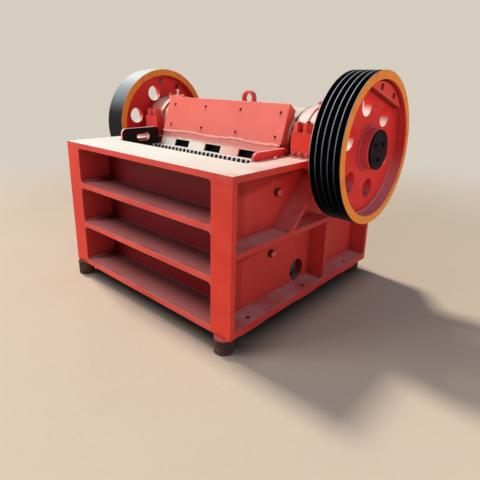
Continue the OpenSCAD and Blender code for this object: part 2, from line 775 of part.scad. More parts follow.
// A counterweight: a segment bolted to the wheel's web inside the rim
module weight(s) {
    wx1 = wheel_web_x + wheel_web;
    color(red) placed() on_side(s) translate([wheel_x + wx1, axis_y, axis_z])
        rotate([weight_a, 0, 0]) difference() {
            across(0, weight_t) intersection() {
                circle(r = rim_r - 10, $fn = 96);
                translate([weight_y, -wheel_r]) square([wheel_r, 2 * wheel_r]);
            }
            for (k = [-1, 1]) rotate([k * weight_bolt_a / 2, 0, 0])
                bar_x(-1, weight_t + 1, weight_bolt_d / 2, weight_bolt_r, 0);
        }
}
module sheave_weight() { weight(1); }
module flywheel_weight() { weight(-1); }

// The disc that closes a hub, with three bolt holes
module end_disc(s) {
    color(black) placed() on_side(s) translate([shaft_end, axis_y, axis_z]) difference() {
        bar_x(0, disc_t, disc_d / 2);
        for (i = [0:2]) rotate([i * 120 + 30, 0, 0]) bar_x(disc_t / 2, disc_t + 1, 15, disc_d * 0.24, 0);
    }
}
module sheave_end_disc() { end_disc(1); }
module flywheel_end_disc() { end_disc(-1); }

// The swing jaw
module swing_jaw() {
    notch_n = 1;
    color(side_red) placed() difference() {
        union() {
            bar_x(-head_x, head_x, head_r, crank_y, crank_z);
            // The front slab with the ledge that carries the jaw plate
            across(-body_x, body_x) polygon([jp(0, -plate_l), jp(-plate_t + 6, -plate_l),
                jp(-plate_t + 12, -plate_l - ledge_t), jp(slab_t, -plate_l - ledge_t), jp(slab_t, 0),
                jp(slab_t + 120, apron_l), jp(0, apron_l)]);
            // The back ribs
            for (x = [-body_x + jaw_rib_t / 2, -body_x / 3, body_x / 3, body_x - jaw_rib_t / 2])
                across(x - jaw_rib_t / 2, x + jaw_rib_t / 2) polygon([jp(slab_t - 1, -plate_l),
                    jp(seat_u - 30, -plate_l), jp(seat_u - 8, -seat_v + 40),
                    [crank_y + head_r * 0.72, crank_z - head_r * 0.66], [crank_y, crank_z],
                    jp(slab_t - 1, apron_l)]);
            // The gussets behind the guard plate
            for (x = [-guard_span / 2, -guard_span / 6, guard_span / 6, guard_span / 2])
                across(x - gusset_t / 2, x + gusset_t / 2) polygon([jp(housing_play, apron_l - 20),
                    jp(housing_play, apron_l + guard_l - 30),
                    [crank_y - 60, crank_z + 140], [crank_y - 60, crank_z]]);
            // The bar that carries the toggle seat
            across(-toggle_w / 2 - seat_side, toggle_w / 2 + seat_side)
                polygon([jp(slab_t - 1, -seat_v - 50), jp(seat_u + 4, -seat_v - 50),
                    jp(seat_u + 4, -seat_v + 50), jp(slab_t - 1, -seat_v + 80)]);
            // The lugs and pins of the tension rods
            for (s = [-1, 1]) translate([s * rod_span / 2, 0, 0]) {
                for (k = [-1, 1]) across(k * 31 - 10, k * 31 + 10) {
                    translate([rod_y, rod_z]) circle(r = 34);
                    polygon([[rod_y - 30, rod_z], [rod_y + 30, rod_z],
                        jp(seat_u, -seat_v - 45), jp(slab_t - 20, -seat_v - 45)]);
                }
                bar_x(-41, 41, 14, rod_y, rod_z);
            }
        }
        bar_x(-head_x - 1, head_x + 1, crank_d / 2 + bearing_play, crank_y, crank_z);
        // The seat of the toggle plate, wider than its end by the orbit
        bar_x(-toggle_w, toggle_w, toggle_r + orbit, toggle_c[0], toggle_c[1]);
        across(-toggle_w, toggle_w) translate(toggle_c) rotate(toggle_a)
            translate([0, -toggle_r - orbit + 3]) square([90, 2 * (toggle_r + orbit) - 6]);
        // The pockets behind the notches
        for (i = [-notch_n:notch_n]) across(i * notch_p - notch_w / 2, i * notch_p + notch_w / 2)
            polygon([jp(-1, 3), jp(pocket_d, 3), jp(pocket_d, lip_h), jp(-1, lip_h)]);
    }
}
module swing_jaw_plate() {
    color(iron) placed() intersection() {
        translate([0, jaw_y, jaw_z]) rotate([-lean, 0, 0]) translate([0, -plate_seat, plate_seat - plate_l])
            linear_extrude(height = plate_l + 60) toothed(plate_x, plate_t);
        box(-big / 2, big / 2, 0, big, -big, jaw_z);
    }
}
// The apron: a bent plate whose lips hold the jaw plate's top, with notches between them
module apron() {
    z0 = jaw_z + housing_play;
    z1 = jaw_z + lip_h * cos(lean);
    t = apron_t / cos(lean);
    color(red) placed() difference() {
        across(-body_x, body_x) polygon([[face_y(z0, -plate_seat), z0], [face_y(z0) - lip_foot, z0],
            [face_y(z0) - lip_foot, z0 + 5], [face_y(z1) - t, z1],
            jp(-apron_t, apron_l), jp(-plate_seat, apron_l)]);
        for (i = [-1:1])
            box(i * notch_p - notch_w / 2, i * notch_p + notch_w / 2, jaw_y - 100, jaw_y + 100, z0 - 1, z1);
    }
}
// The guard plate over the front of the barrel, with flanges at its sides
module guard_plate() {
    v0 = apron_l + housing_play;
    v1 = apron_l + guard_l;
    color(red) placed() difference() {
        across(-guard_x, guard_x)
            polygon([jp(-guard_t, v0), jp(guard_d, v0), jp(guard_d, v1 - guard_drop), jp(-guard_t, v1)]);
        across(guard_t - guard_x, guard_x - guard_t)
            polygon([jp(0, v0 - 10), jp(guard_d + 10, v0 - 10), jp(guard_d + 10, v1 + 10), jp(0, v1 + 10)]);
        bar_x(-big / 2, big / 2, head_r + housing_play, crank_y, crank_z);
    }
}
// The lifting eye: a thick ring with rounded edges on a foot that fits the barrel
module lifting_eye() {
    y = crank_y + eye_back;
    z = crank_z + sqrt(head_r * head_r - eye_back * eye_back) + eye_rise;
    inner = [eye_hole_r + eye_edge, eye_t / 2 - eye_edge];
    outer = [eye_r - eye_edge, eye_t / 2 - eye_edge];
    middle = [[outer[0], outer[1]], [inner[0], inner[1]], [inner[0], -inner[1]], [outer[0], -outer[1]]];
    color(red) placed() difference() {
        union() {
            translate([0, y, z]) rotate([90, 0, 0]) rotate_extrude()
                polygon([for (k = [0:3]) for (a = [0:30:90])
                    middle[k] + eye_edge * [cos(90 * k + a), sin(90 * k + a)]]);
            translate([0, y + eye_t / 2 - eye_edge, 0]) rotate([90, 0, 0])
                linear_extrude(height = eye_t - 2 * eye_edge) polygon([
                    [-eye_r - eye_foot, crank_z + head_r / 2], [eye_r + eye_foot, crank_z + head_r / 2],
                    [eye_r + eye_foot, z - eye_rise - 2], [eye_r - 2, z - eye_rise / 3],
                    [2 - eye_r, z - eye_rise / 3], [-eye_r - eye_foot, z - eye_rise - 2]]);
        }
        bar_y(y - eye_t, y + eye_t, eye_hole_r, 0, z);
        bar_x(-big / 2, big / 2, head_r, crank_y, crank_z);
    }
}
// A tension rod with its eye, spring washer and nuts
module tension_rod(s) {
    color(steel) placed() translate([s * rod_span / 2, 0, 0]) difference() {
        union() {
            bar_x(-19, 19, 30, rod_y, rod_z);
            bar_y(rod_y + 20, rod_end_y, rod_d / 2, 0, rod_z);
            bar_y(washer_y, washer_y + washer_t, spring_r + wire_d / 2 + 6, 0, rod_z);
            translate([0, nut_y - 1, rod_z]) rotate([-90, 0, 0])
                cylinder(h = 2 * nut_h + 1, d = rod_d * 1.75, $fn = 6);
        }
        bar_x(-20, 20, 14 + housing_play, rod_y, rod_z);
    }
}
module tension_rod_left() { tension_rod(-1); }
module tension_rod_right() { tension_rod(1); }

// A coil spring along Y, swept with eight sides
module spring(s) {
    seg = 16;
    n = spring_n * seg;
    len = spring_l - wire_d;
    pts = [for (i = [0:n]) let (a = 360 * i / seg, y = wire_d / 2 + len * i / n)
        for (k = [0:7]) let (b = 45 * k + 22.5, r = spring_r + wire_d / 2 * cos(b))
            [r * cos(a), y + wire_d / 2 * sin(b), r * sin(a)]];
    faces = concat([[for (k = [0:7]) k]], [[for (k = [7:-1:0]) n * 8 + k]],
        [for (i = [0:n - 1]) for (k = [0:7])
            [i * 8 + k, (i + 1) * 8 + k, (i + 1) * 8 + (k + 1) % 8, i * 8 + (k + 1) % 8]]);
    color(black) placed() translate([s * rod_span / 2, spring_y + 0.3, rod_z]) polyhedron(pts, faces);
}
module tension_spring_left() { spring(-1); }
module tension_spring_right() { spring(1); }

deck_plate();
front_wall();
upper_shelf();
lower_shelf();
bottom_plate();
corner_post_left();
corner_post_right();
side_plate_left();
side_plate_right();
base_flange_left();
base_flange_right();
side_ribs_left();
side_ribs_right();
rear_flange_left();
rear_flange_right();
rear_wall();
toggle_beam();
toggle_block();
toggle_plate();
fixed_jaw_plate();
cheek_plate_left();
cheek_plate_right();
bearing_housing_left();
bearing_housing_right();
stub_front_left();
stub_front_right();
stub_rear_left();
stub_rear_right();
eccentric_shaft();
sheave();
flywheel();
sheave_weight();
flywheel_weight();
sheave_end_disc();
flywheel_end_disc();
swing_jaw();
swing_jaw_plate();
apron();
guard_plate();
lifting_eye();
tension_rod_left();
tension_rod_right();
tension_spring_left();
tension_spring_right();
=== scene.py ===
"""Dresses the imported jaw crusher: paint, dust, welds, bolts and fittings, with its floor, light and camera."""
import math
import random

import bmesh
import bpy
from mathutils import Matrix, Vector


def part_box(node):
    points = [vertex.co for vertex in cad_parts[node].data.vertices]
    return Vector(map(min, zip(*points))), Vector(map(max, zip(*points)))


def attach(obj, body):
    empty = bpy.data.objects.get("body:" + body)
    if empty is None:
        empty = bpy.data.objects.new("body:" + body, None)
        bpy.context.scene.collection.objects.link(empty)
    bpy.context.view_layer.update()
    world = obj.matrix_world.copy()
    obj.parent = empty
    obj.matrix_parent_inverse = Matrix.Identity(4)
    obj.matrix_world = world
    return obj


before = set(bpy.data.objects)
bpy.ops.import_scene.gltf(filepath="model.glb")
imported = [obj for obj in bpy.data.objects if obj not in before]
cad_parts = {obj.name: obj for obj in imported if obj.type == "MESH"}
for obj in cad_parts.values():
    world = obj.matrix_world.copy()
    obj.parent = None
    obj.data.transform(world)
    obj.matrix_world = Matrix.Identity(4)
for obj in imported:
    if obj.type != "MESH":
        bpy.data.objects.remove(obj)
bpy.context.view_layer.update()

bl_info = {
    "name": "Jaw crusher dressing",
    "version": (1, 0, 0),
    "blender": (4, 5, 0),
    "location": "View3D > Sidebar > Crusher",
    "description": "Builds the finish and small fittings of a jaw crusher round its packed frame",
    "category": "Object",
}

# Sizes in millimetres of the machine's own frame: Y runs back from the front face, Z up from the base flanges
MIDDLE_Y = 843.8
STUB_H = 95.0
AXIS_Y = 936.0
AXIS_Z = 943.0
# The deck, the side plates' outer faces and the outer edges of the base flanges
DECK = 880.0
DECK_UNDER = 845.0
SIDE = 655.0
HALF = 780.0
BASE_TOP = 44.0
REAR_Y = 1509.0
# The front box: post thickness, half width and depth inside, and each bay's floor and ceiling
POST_T = 34.0
BAY_X = 635.0
BAY_D = 225.0
BAYS = ((35.0, 291.0), (326.0, 573.0), (608.0, 845.0))
# The ribs of a side frame, and the middle and radius of its access hole
MID_RIB = (448.0, 480.0)
UPRIGHT = (910.0, 942.0)
BRACE_Y = (496.0, 541.3)
ACCESS_Y = 775.0
ACCESS_Z = 119.0
ACCESS_R = 72.5
# The swing jaw: its plane's lean and top edge, the crank it turns on, its round head and its guard plate
LEAN = math.radians(18.0)
JAW_Y = 639.5
JAW_Z = 833.0
CRANK = (0.0, 934.0, 936.3)
HEAD_R = 214.0
GUARD_X = 556.0
GUARD_V = (113.3, 361.0)
GUARD_BOLTS = (-479.5, -152.5, 174.5, 501.5)
GUARD_ROWS = (155.0, 306.0)
CHEEK_BOLTS = ((514.0, 694.0), (483.0, 322.0))
# The bearing housings: barrel, the line where the jaw's head meets them, the lugs and their bolts
BARREL_R = 226.0
BARREL_X = (680.0, 822.0)
JOINT = 590.0
LUG_X = (632.0, 772.0)
LUG_Y = (655.0, 1217.0)
LUG_TOP = 1028.0
CAP_BOLT_X = 696.0
CAP_BOLT_APART = 33.5
CAP_BOLT_Y = (AXIS_Y - 247, AXIS_Y + 247)
COVER_BOLTS_R = 160.0
# The wheels: inner face, width, rim, the web's inner face, the counterweight and the end disc
WHEEL_X = 863.0
WHEEL_W = 190.0
WHEEL_R = 437.5
RIM_R = 388.5
WEB_X = 933.0
WEIGHT_FACE = 1028.0
WEIGHT_R = 348.0
WEIGHT_TURN = math.radians(73.5)
WEIGHT_SPREAD = math.radians(15)
DISC_FACE = 1057.0
DISC_BOLTS_R = 54.72
# The camera: place, turn in degrees (yaw, pitch down, roll), lens and shift
CAMERA_AT = (2059.2, -1403.1, 1301.7)
CAMERA_TURN = (41.185, 17.426, 1.4253)
CAMERA_LENS = 31.62
CAMERA_SHIFT = (-0.00104, -0.0552)

BOTH = (("left", -1), ("right", 1))
UP = (0, 0, 1)
# Degrees past which an edge of a piece is drawn sharp: turned and cut parts, weld beads, thin plates
SHARP = 38
SHARP_WELD = 60
SHARP_SHIM = 30


def at(x, y, z):
    """A place of the machine's frame in metres of the shared frame."""
    return Vector((x / 1000, (y - MIDDLE_Y) / 1000, (z + STUB_H) / 1000))


def on_jaw(x, u, v):
    """A place on the swing jaw's slope: u square to its front plane towards the back, v up along it."""
    return at(x, JAW_Y + u * math.cos(LEAN) + v * math.sin(LEAN),
              JAW_Z - u * math.sin(LEAN) + v * math.cos(LEAN))


def on_head(x, y):
    """The place on top of the jaw's round head that lies over x and y, all in metres of the shared frame."""
    crank = at(*CRANK)
    return Vector((x, y, crank.z + math.sqrt((HEAD_R / 1000) ** 2 - (y - crank.y) ** 2)))


def round_axis(x, radius, turn):
    """A place round the main shaft: turn is the angle from the rear level, in radians."""
    return at(x, AXIS_Y + radius * math.cos(turn), AXIS_Z + radius * math.sin(turn))


def whole_turn(count):
    """Angles that share one turn evenly."""
    return [math.tau * i / count for i in range(count)]


def mm(length):
    """A length from the settings in millimetres."""
    return round(length * 1000, 3)


# Shader values


class Sock:
    """A shader value; sums on it add their Math nodes."""

    def __init__(self, tree, link):
        self.tree = tree
        self.link = link

    def __add__(self, other):
        return self.tree.math("ADD", self, other)

    __radd__ = __add__

    def __sub__(self, other):
        return self.tree.math("SUBTRACT", self, other)

    def __rsub__(self, other):
        return self.tree.math("SUBTRACT", other, self)

    def __mul__(self, other):
        return self.tree.math("MULTIPLY", self, other)

    __rmul__ = __mul__

    def __pow__(self, other):
        return self.tree.math("POWER", self, other)

    def high(self, other):
        return self.tree.math("MAXIMUM", self, other)

    def size(self):
        return self.tree.math("ABSOLUTE", self)

    def root(self):
        return self.tree.math("SQRT", self)

    def step(self, start, end):
        """0 at start and 1 at end, whichever is larger, with a soft slope between them."""
        return self.tree.node("ShaderNodeMapRange", {"interpolation_type": "SMOOTHSTEP"},
                              {"Value": self, "From Min": start, "From Max": end})

    def within(self, low, high, soft):
        """1 from low to high, and 0 past a soft slope outside them."""
        return self.step(low - soft, low) * self.step(high + soft, high)


class Tree:
    """The nodes of one material, or of the world."""

    def __init__(self, name, kind="materials"):
        self.owner = getattr(bpy.data, kind).new(name)
        self.owner.use_nodes = True
        self.nodes = self.owner.node_tree.nodes
        self.links = self.owner.node_tree.links
        self.nodes.clear()
        self.kept = {}

    def node(self, kind, settings=None, inputs=None, out=0):
        """Adds a node, sets or links its inputs, and gives one of its outputs."""
        new = self.nodes.new(kind)
        for key, value in (settings or {}).items():
            setattr(new, key, value)
        for key, value in (inputs or {}).items():
            if isinstance(value, Sock):
                self.links.new(value.link, new.inputs[key])
            elif value is not None:
                new.inputs[key].default_value = value
        return Sock(self, new.outputs[out])

    def math(self, kind, *values):
        return self.node("ShaderNodeMath", {"operation": kind}, dict(enumerate(values)))

    def split(self, which):
        """X, Y and Z of the place (Object, in metres) or of the surface's own direction (Normal)."""
        if which not in self.kept:
            vec = self.node("ShaderNodeTexCoord", out=which)
            outs = self.node("ShaderNodeSeparateXYZ", None, {"Vector": vec}).link.node.outputs
            self.kept[which] = [Sock(self, out) for out in outs]
        return self.kept[which]

    def spot(self):
        """X, Y and Z of the place in the machine's own millimetres."""
        if "spot" not in self.kept:
            x, y, z = self.split("Object")
            self.kept["spot"] = (x * 1000, y * 1000 + MIDDLE_Y, z * 1000 - STUB_H)
        return self.kept["spot"]

    def slope(self):
        """How far the place lies in front of the swing jaw's plane, and how far up along it."""
        y, z = self.spot()[1] - JAW_Y, self.spot()[2] - JAW_Z
        return z * math.sin(LEAN) - y * math.cos(LEAN), y * math.sin(LEAN) + z * math.cos(LEAN)

    def from_line(self, y, z):
        """Distance from a line across the machine."""
        dy, dz = self.spot()[1] - y, self.spot()[2] - z
        return (dy * dy + dz * dz).root()

    def up(self):
        """1 on a level top, 0 on a wall, -1 underneath."""
        return self.split("Normal")[2]

    def aside(self):
        """1 on a face that looks left or right, 0 on one that looks square to that."""
        return self.split("Normal")[0].size()

    def noise(self, scale, detail=3.0, rough=0.55, stretch=None):
        if "place" not in self.kept:
            self.kept["place"] = self.node("ShaderNodeTexCoord", out="Object")
        where = self.kept["place"]
        if stretch:
            where = self.node("ShaderNodeVectorMath", {"operation": "MULTIPLY"}, {0: where, 1: stretch})
        return self.node("ShaderNodeTexNoise", None,
                         {"Vector": where, "Scale": scale, "Detail": detail, "Roughness": rough})

    def mix(self, share, first, second):
        """The first colour where share is 0 and the second where it is 1."""
        first, second = (c if isinstance(c, Sock) else (*c, 1.0) for c in (first, second))
        return self.node("ShaderNodeMix", {"data_type": "RGBA"}, {0: share, 6: first, 7: second}, out=2)

    def bump(self, height, strength, distance, normal=None):
        return self.node("ShaderNodeBump", None,
                         {"Height": height, "Strength": strength, "Distance": distance, "Normal": normal})

    def edge(self, radius):
        """The direction of a surface whose edges are rounded, and how far it turns from the flat one."""
        soft = self.node("ShaderNodeBevel", {"samples": 4}, {"Radius": radius})
        flat = self.node("ShaderNodeNewGeometry", out="Normal")
        turn = self.node("ShaderNodeVectorMath", {"operation": "DOT_PRODUCT"}, {0: soft, 1: flat}, "Value")
        return soft, 1 - turn

    def near(self, distance):
        """1 in a tight corner and 0 in the open."""
        return 1 - self.node("ShaderNodeAmbientOcclusion", {"samples": 4}, {"Distance": distance}, out="AO")

    def seen(self):
        """1 for what the camera or a mirror sees, 0 for what only lights the rest."""
        rays = self.node("ShaderNodeLightPath").link.node.outputs
        kinds = ("Is Camera Ray", "Is Glossy Ray", "Is Transmission Ray")
        camera, glossy, through = (Sock(self, rays[kind]) for kind in kinds)
        return camera.high(glossy).high(through)

    def surface(self, colour, rough, normal, metal=0.0, specular=0.5):
        return self.node("ShaderNodeBsdfPrincipled", None,
                         {"Base Color": colour, "Roughness": rough, "Metallic": metal,
                          "Specular IOR Level": specular, "Normal": normal})

    def end(self, shader):
        """Makes the shader the look of this material or world, and gives that back."""
        kind = "World" if isinstance(self.owner, bpy.types.World) else "Material"
        self.links.new(shader.link, self.nodes.new("ShaderNodeOutput" + kind).inputs["Surface"])
        return self.owner


def srgb(r, g, b):
    """A colour as the eye reads it, 0 to 255, turned into the linear values that shaders use."""
    return tuple(c / 255 / 12.92 if c <= 10 else ((c / 255 + 0.055) / 1.055) ** 2.4 for c in (r, g, b))


RED = srgb(228, 64, 48)
RED_DEEP = srgb(176, 42, 36)
RED_PALE = srgb(238, 128, 112)
BOX_RED = srgb(238, 72, 54)
CORAL = srgb(255, 116, 96)
CREAM = srgb(250, 236, 218)
MAUVE = srgb(168, 108, 112)
DUST = srgb(214, 160, 156)
ORANGE = srgb(255, 150, 58)
# Near black of the jaw plates' valleys: dark steel with painted shade
SHADED_BLACK = srgb(14, 14, 17)
RUST = srgb(112, 62, 42)
EARTH = srgb(120, 96, 80)
BACKDROP = srgb(214, 205, 193)


# Where dust and dirt lie: each gives 1 on its place and 0 elsewhere


def in_bay(t):
    """Deep inside the open bays of the front box."""
    x, y, z = t.spot()
    depth = y.step(4, 45) * y.step(BAY_D + 75, BAY_D + 25)
    return x.size().step(BAY_X + 3, BAY_X - 1) * depth * z.step(DECK - 8, DECK - 20)


def on_barrel(t):
    """The round housings and the jaw's head, with the grease knobs, but not what stands round them: where pale
    dust and a painted highlight of their sunlit upper sides go.
    """
    x, _, z = t.spot()
    knob = z.step(AXIS_Z + 216, AXIS_Z + 222)
    ledge = t.aside().step(0.6, 0.9) * x.size().within(BARREL_X[0], BARREL_X[0] + 3, 2)
    rounded = t.from_line(AXIS_Y, AXIS_Z).step(BARREL_R + 10.5, BARREL_R + 8.5)
    return (t.up().step(-0.1, 0.7) * rounded).high(ledge).high(knob)


def joint_shadow(t):
    """A painted shadow along the gap between the jaw's head and a housing, which thins towards the top."""
    x, _, z = t.spot()
    wide = 24 - 14 * z.step(985, 1125)
    return x.size().step(JOINT + wide, JOINT + 0.6 * wide) * x.size().step(JOINT - 18, JOINT - 11) * 0.72


def on_left_housing(t):
    """As on_barrel, but on the housing by the flywheel, which has less of it: its outer part keeps a quarter, a
    painted shadow of the flywheel.
    """
    return on_barrel(t) * (0.25 + 0.75 * t.spot()[0].step(-715, -665))


def on_deck(t):
    """The deck's top, where pale dust and a painted highlight of the sunlit top go, a little less along its
    right edge.
    """
    x, _, z = t.spot()
    right_edge = x.step(600, 790) * t.noise(9.0, 5.0).step(0.3, 0.6)
    return t.up().step(0.5, 0.9) * z.step(DECK - 30, DECK - 10) * (1 - 0.3 * right_edge)


def inner_side(t):
    """The corner posts' faces that look into the side bays."""
    return t.aside().step(0.7, 0.9) * t.spot()[0].size().step(700, 680)


def side_shade(t):
    """Painted shade in the side plates' access hole, and painted shadow bands below the deck and the middle rib,
    narrower to the back.
    """
    x, y, z = t.spot()
    deep = 30 + y.step(993.8, 93.8) * 100
    shaded = 0
    for top, share in ((DECK_UNDER, 1.0), (MID_RIB[0], 0.8)):
        shaded = ((z - top + deep * share).step(-20, 20) * (top - z).step(-2, 0)).high(shaded)
    wall = t.aside().step(0.5, 0.8) * x.size().within(SIDE - 5, SIDE + 5, 10)
    hole = t.from_line(ACCESS_Y, ACCESS_Z).step(ACCESS_R + 1, ACCESS_R) * x.size().step(SIDE + 5, SIDE - 1)
    return (shaded * wall * 0.36).high(hole * 0.6)


def underside_shade(t):
    """Painted shade on what looks down."""
    return t.up().step(-0.2, -0.7) * 0.6


def on_lips(t):
    """The feet of the apron between its notches, less towards the right."""
    high = t.slope()[1]
    return (high + t.noise(12.0, 4.0) * 30).step(88, 56) * (1 - 0.45 * t.spot()[0].step(0, 500))


def bolt_shadows(t):
    """Thin painted shadows below the guard plate's bolts."""
    high = t.slope()[1]
    pitch = GUARD_BOLTS[1] - GUARD_BOLTS[0]
    off = t.math("PINGPONG", t.spot()[0] - GUARD_BOLTS[0], pitch / 2)
    shadow_band = 0
    for row in GUARD_ROWS:
        shadow_band = shadow_band + high.step(row - 44, row - 8) * high.step(row + 4, row)
    return off.step(7.5, 2) * shadow_band * 0.62


def pocket_shade(t):
    """Painted shade in the open pockets of the jaw's body behind the apron's notches, and the painted shadow
    along the joint at its head.
    """
    x, _, z = t.spot()
    high = t.slope()[1]
    pockets = x.size().step(460, 440) * high.step(75, 68) * high.step(-100, -60)
    return pockets.high(joint_shadow(t) * z.step(805, 855))


def swing_crest(t):
    """The tips of the swing jaw plate's teeth."""
    return t.slope()[0].step(55.2, 56.8)


def fixed_crest(t):
    """The tips of the fixed jaw plate's teeth."""
    return t.spot()[1].step(287, 297)


# Powders: the colours of stone dust, which on the deck and housings is also a painted highlight of their sunlit
# tops


def deck_dust_and_highlight(t):
    """Pale dust and a painted highlight of the sunlit deck: nearly white on the deck's left, warmer towards its
    right.
    """
    across = t.spot()[0] + t.noise(3.0, 4.0) * 300
    return t.mix(across.step(250, 950), srgb(254, 253, 236), srgb(252, 230, 212))


def lip_powder(t):
    """Pale on the apron's left, pinker towards the right."""
    across = t.spot()[0] + t.noise(6.0, 4.0) * 100
    return t.mix(across.step(-50, 350), srgb(255, 242, 222), srgb(254, 186, 164))


def bay_red(t):
    """The side plates' red."""
    return t.mix(t.noise(3.0, 4.0), srgb(196, 60, 54), srgb(182, 52, 48))


def pink_dust_and_highlight(t):
    """Dust and a painted highlight over red paint, pinker in patches."""
    return t.mix(t.noise(9.0, 5.0).step(0.35, 0.65), srgb(255, 240, 228), srgb(250, 206, 194))


def warm_dust_and_highlight(t):
    """Yellowish dust and painted highlight."""
    return t.mix(t.noise(9.0, 5.0), srgb(255, 240, 212), srgb(255, 226, 184))


# Paints and metals


def weather(t, colour, deep, pale, dust, dusty, wear_and_highlight, corner_shade=0.6):
    """Clouds, runs, painted shade in tight corners, lying dust, edge wear with a painted edge highlight, and
    chips over a paint's colour.

    Gives the colour, the share of lying dust, the mottling and the softened surface direction.
    """
    up = t.up()
    mottle = t.noise(17.0, 5.0, 0.62)
    colour = t.mix(t.noise(2.3, 4.0).step(0.32, 0.68) * 0.4, colour, deep)
    colour = t.mix(mottle.step(0.55, 0.75) * 0.18, colour, pale)
    runs = t.noise(9.0, 3.0, 0.5, (1.0, 1.0, 0.12)).step(0.6, 0.78) * (1 - up.size().step(0.3, 0.7))
    colour = t.mix(runs * 0.3, colour, deep)
    # Painted shade: tight corners, found by ambient occlusion, darken towards a deep copy of the paint
    colour = t.mix(t.near(0.07).step(0.15, 0.75) * corner_shade, colour, tuple(0.3 * c for c in deep))
    lying = up.step(0.55, 0.93) * (0.35 + 0.65 * t.noise(5.0, 6.0, 0.6).step(0.34, 0.62))
    colour = t.mix(lying * dusty, colour, dust)
    soft, turn = t.edge(0.006)
    # Edge wear, paler in patches along the edges, partly a painted edge highlight
    colour = t.mix(turn.step(0.01, 0.12) * wear_and_highlight * t.noise(30.0, 4.0).step(0.3, 0.6), colour, pale)
    chips = t.noise(48.0, 6.0, 0.7).step(0.72, 0.76)
    colour = t.mix(chips * 0.5, colour, RUST)
    return colour, lying, mottle, soft


def bay_shade(t, colour, share):
    """Painted light and shade in the bays of the front box: walls and shelves are pale at the front and darken
    to the back.
    """
    fade = t.spot()[1].step(200, 0)
    side = t.mix(fade, srgb(150, 50, 52), srgb(242, 124, 112))
    wall = t.mix(t.aside().step(0.5, 0.9), srgb(100, 16, 20), side)
    shelf = t.mix(fade ** 1.1, srgb(90, 40, 42), srgb(255, 158, 146))
    return t.mix(in_bay(t) * share, colour, t.mix(t.up().step(0.5, 0.9), wall, shelf))


def paint(name, base=RED, deep=RED_DEEP, pale=RED_PALE, dust=MAUVE, dusty=0.7, wear_and_highlight=0.35, gloss=0.42,
          cream=None, cover_colour=None, black=None, bay=0.0, shine=0.3, corner_shade=0.6):
    """Brushed machine paint; cream says where the cover colour goes (stone dust, with a painted highlight on the
    deck, housings and jaw head), black where painted shade goes, bay how strong the painted shade in the bays
    is.
    """
    t = Tree(name)
    colour, lying, mottle, soft = weather(t, base, deep, pale, dust, dusty, wear_and_highlight, corner_shade)
    # Painted shade in the bays, as strong as bay says
    if bay:
        colour = bay_shade(t, colour, bay)
    if cream:
        share = cream(t) * (0.92 + 0.08 * t.noise(2.2, 5.0).step(0.3, 0.6))
        colour = t.mix(share, colour, cover_colour(t) if cover_colour else CREAM)
    rough = gloss + 0.25 * lying + 0.14 * mottle.step(0.4, 0.7)
    # Painted shade and shadow: the black mask darkens the colour to near black
    if black:
        shade_share = black(t)
        colour = t.mix(shade_share, colour, srgb(8, 5, 7))
        rough = rough + shade_share * 0.4
    height = t.noise(140.0, 3.0) * 0.25 + mottle * 0.6
    return t.end(t.surface(colour, rough, t.bump(height, 0.25, 0.0012, soft), specular=shine))


def bare_steel(name, base, dark, rough=0.4, metal=0.8, shine=0.5):
    """Turned or rolled metal, stained darker in patches and bright along its edges."""
    t = Tree(name)
    stain = t.noise(8.0, 5.0, 0.6)
    turned = t.noise(220.0, 2.0, 0.5, (1.0, 0.2, 0.2))
    soft, turn = t.edge(0.003)
    colour = t.mix(stain.step(0.4, 0.7) * 0.7, base, dark)
    colour = t.mix(turn.step(0.02, 0.2) * 0.5, colour, tuple(min(1.0, 1.5 * c) for c in base))
    rough = rough + 0.3 * stain.step(0.45, 0.7)
    return t.end(t.surface(colour, rough, t.bump(turned, 0.2, 0.0008, soft), metal, shine))


def jaw_steel(name, crest):
    """Cast jaw plate: pale on the teeth's tips, where crest is 1, and on level tops, dust with a painted
    highlight; black in the valleys, dark steel with painted shade.
    """
    t = Tree(name)
    cast = t.noise(60.0, 6.0, 0.65)
    colour = t.mix(crest(t), t.mix(0.9, srgb(70, 66, 66), SHADED_BLACK), srgb(246, 240, 232))
    colour = t.mix(t.up().step(0.75, 0.95), colour, srgb(236, 232, 226))
    colour = t.mix(cast.step(0.5, 0.75) * 0.2, colour, srgb(88, 74, 66))
    normal = t.bump(cast, 0.4, 0.0015, t.edge(0.003)[0])
    return t.end(t.surface(colour, 0.5 + 0.25 * cast, normal, specular=0.12))


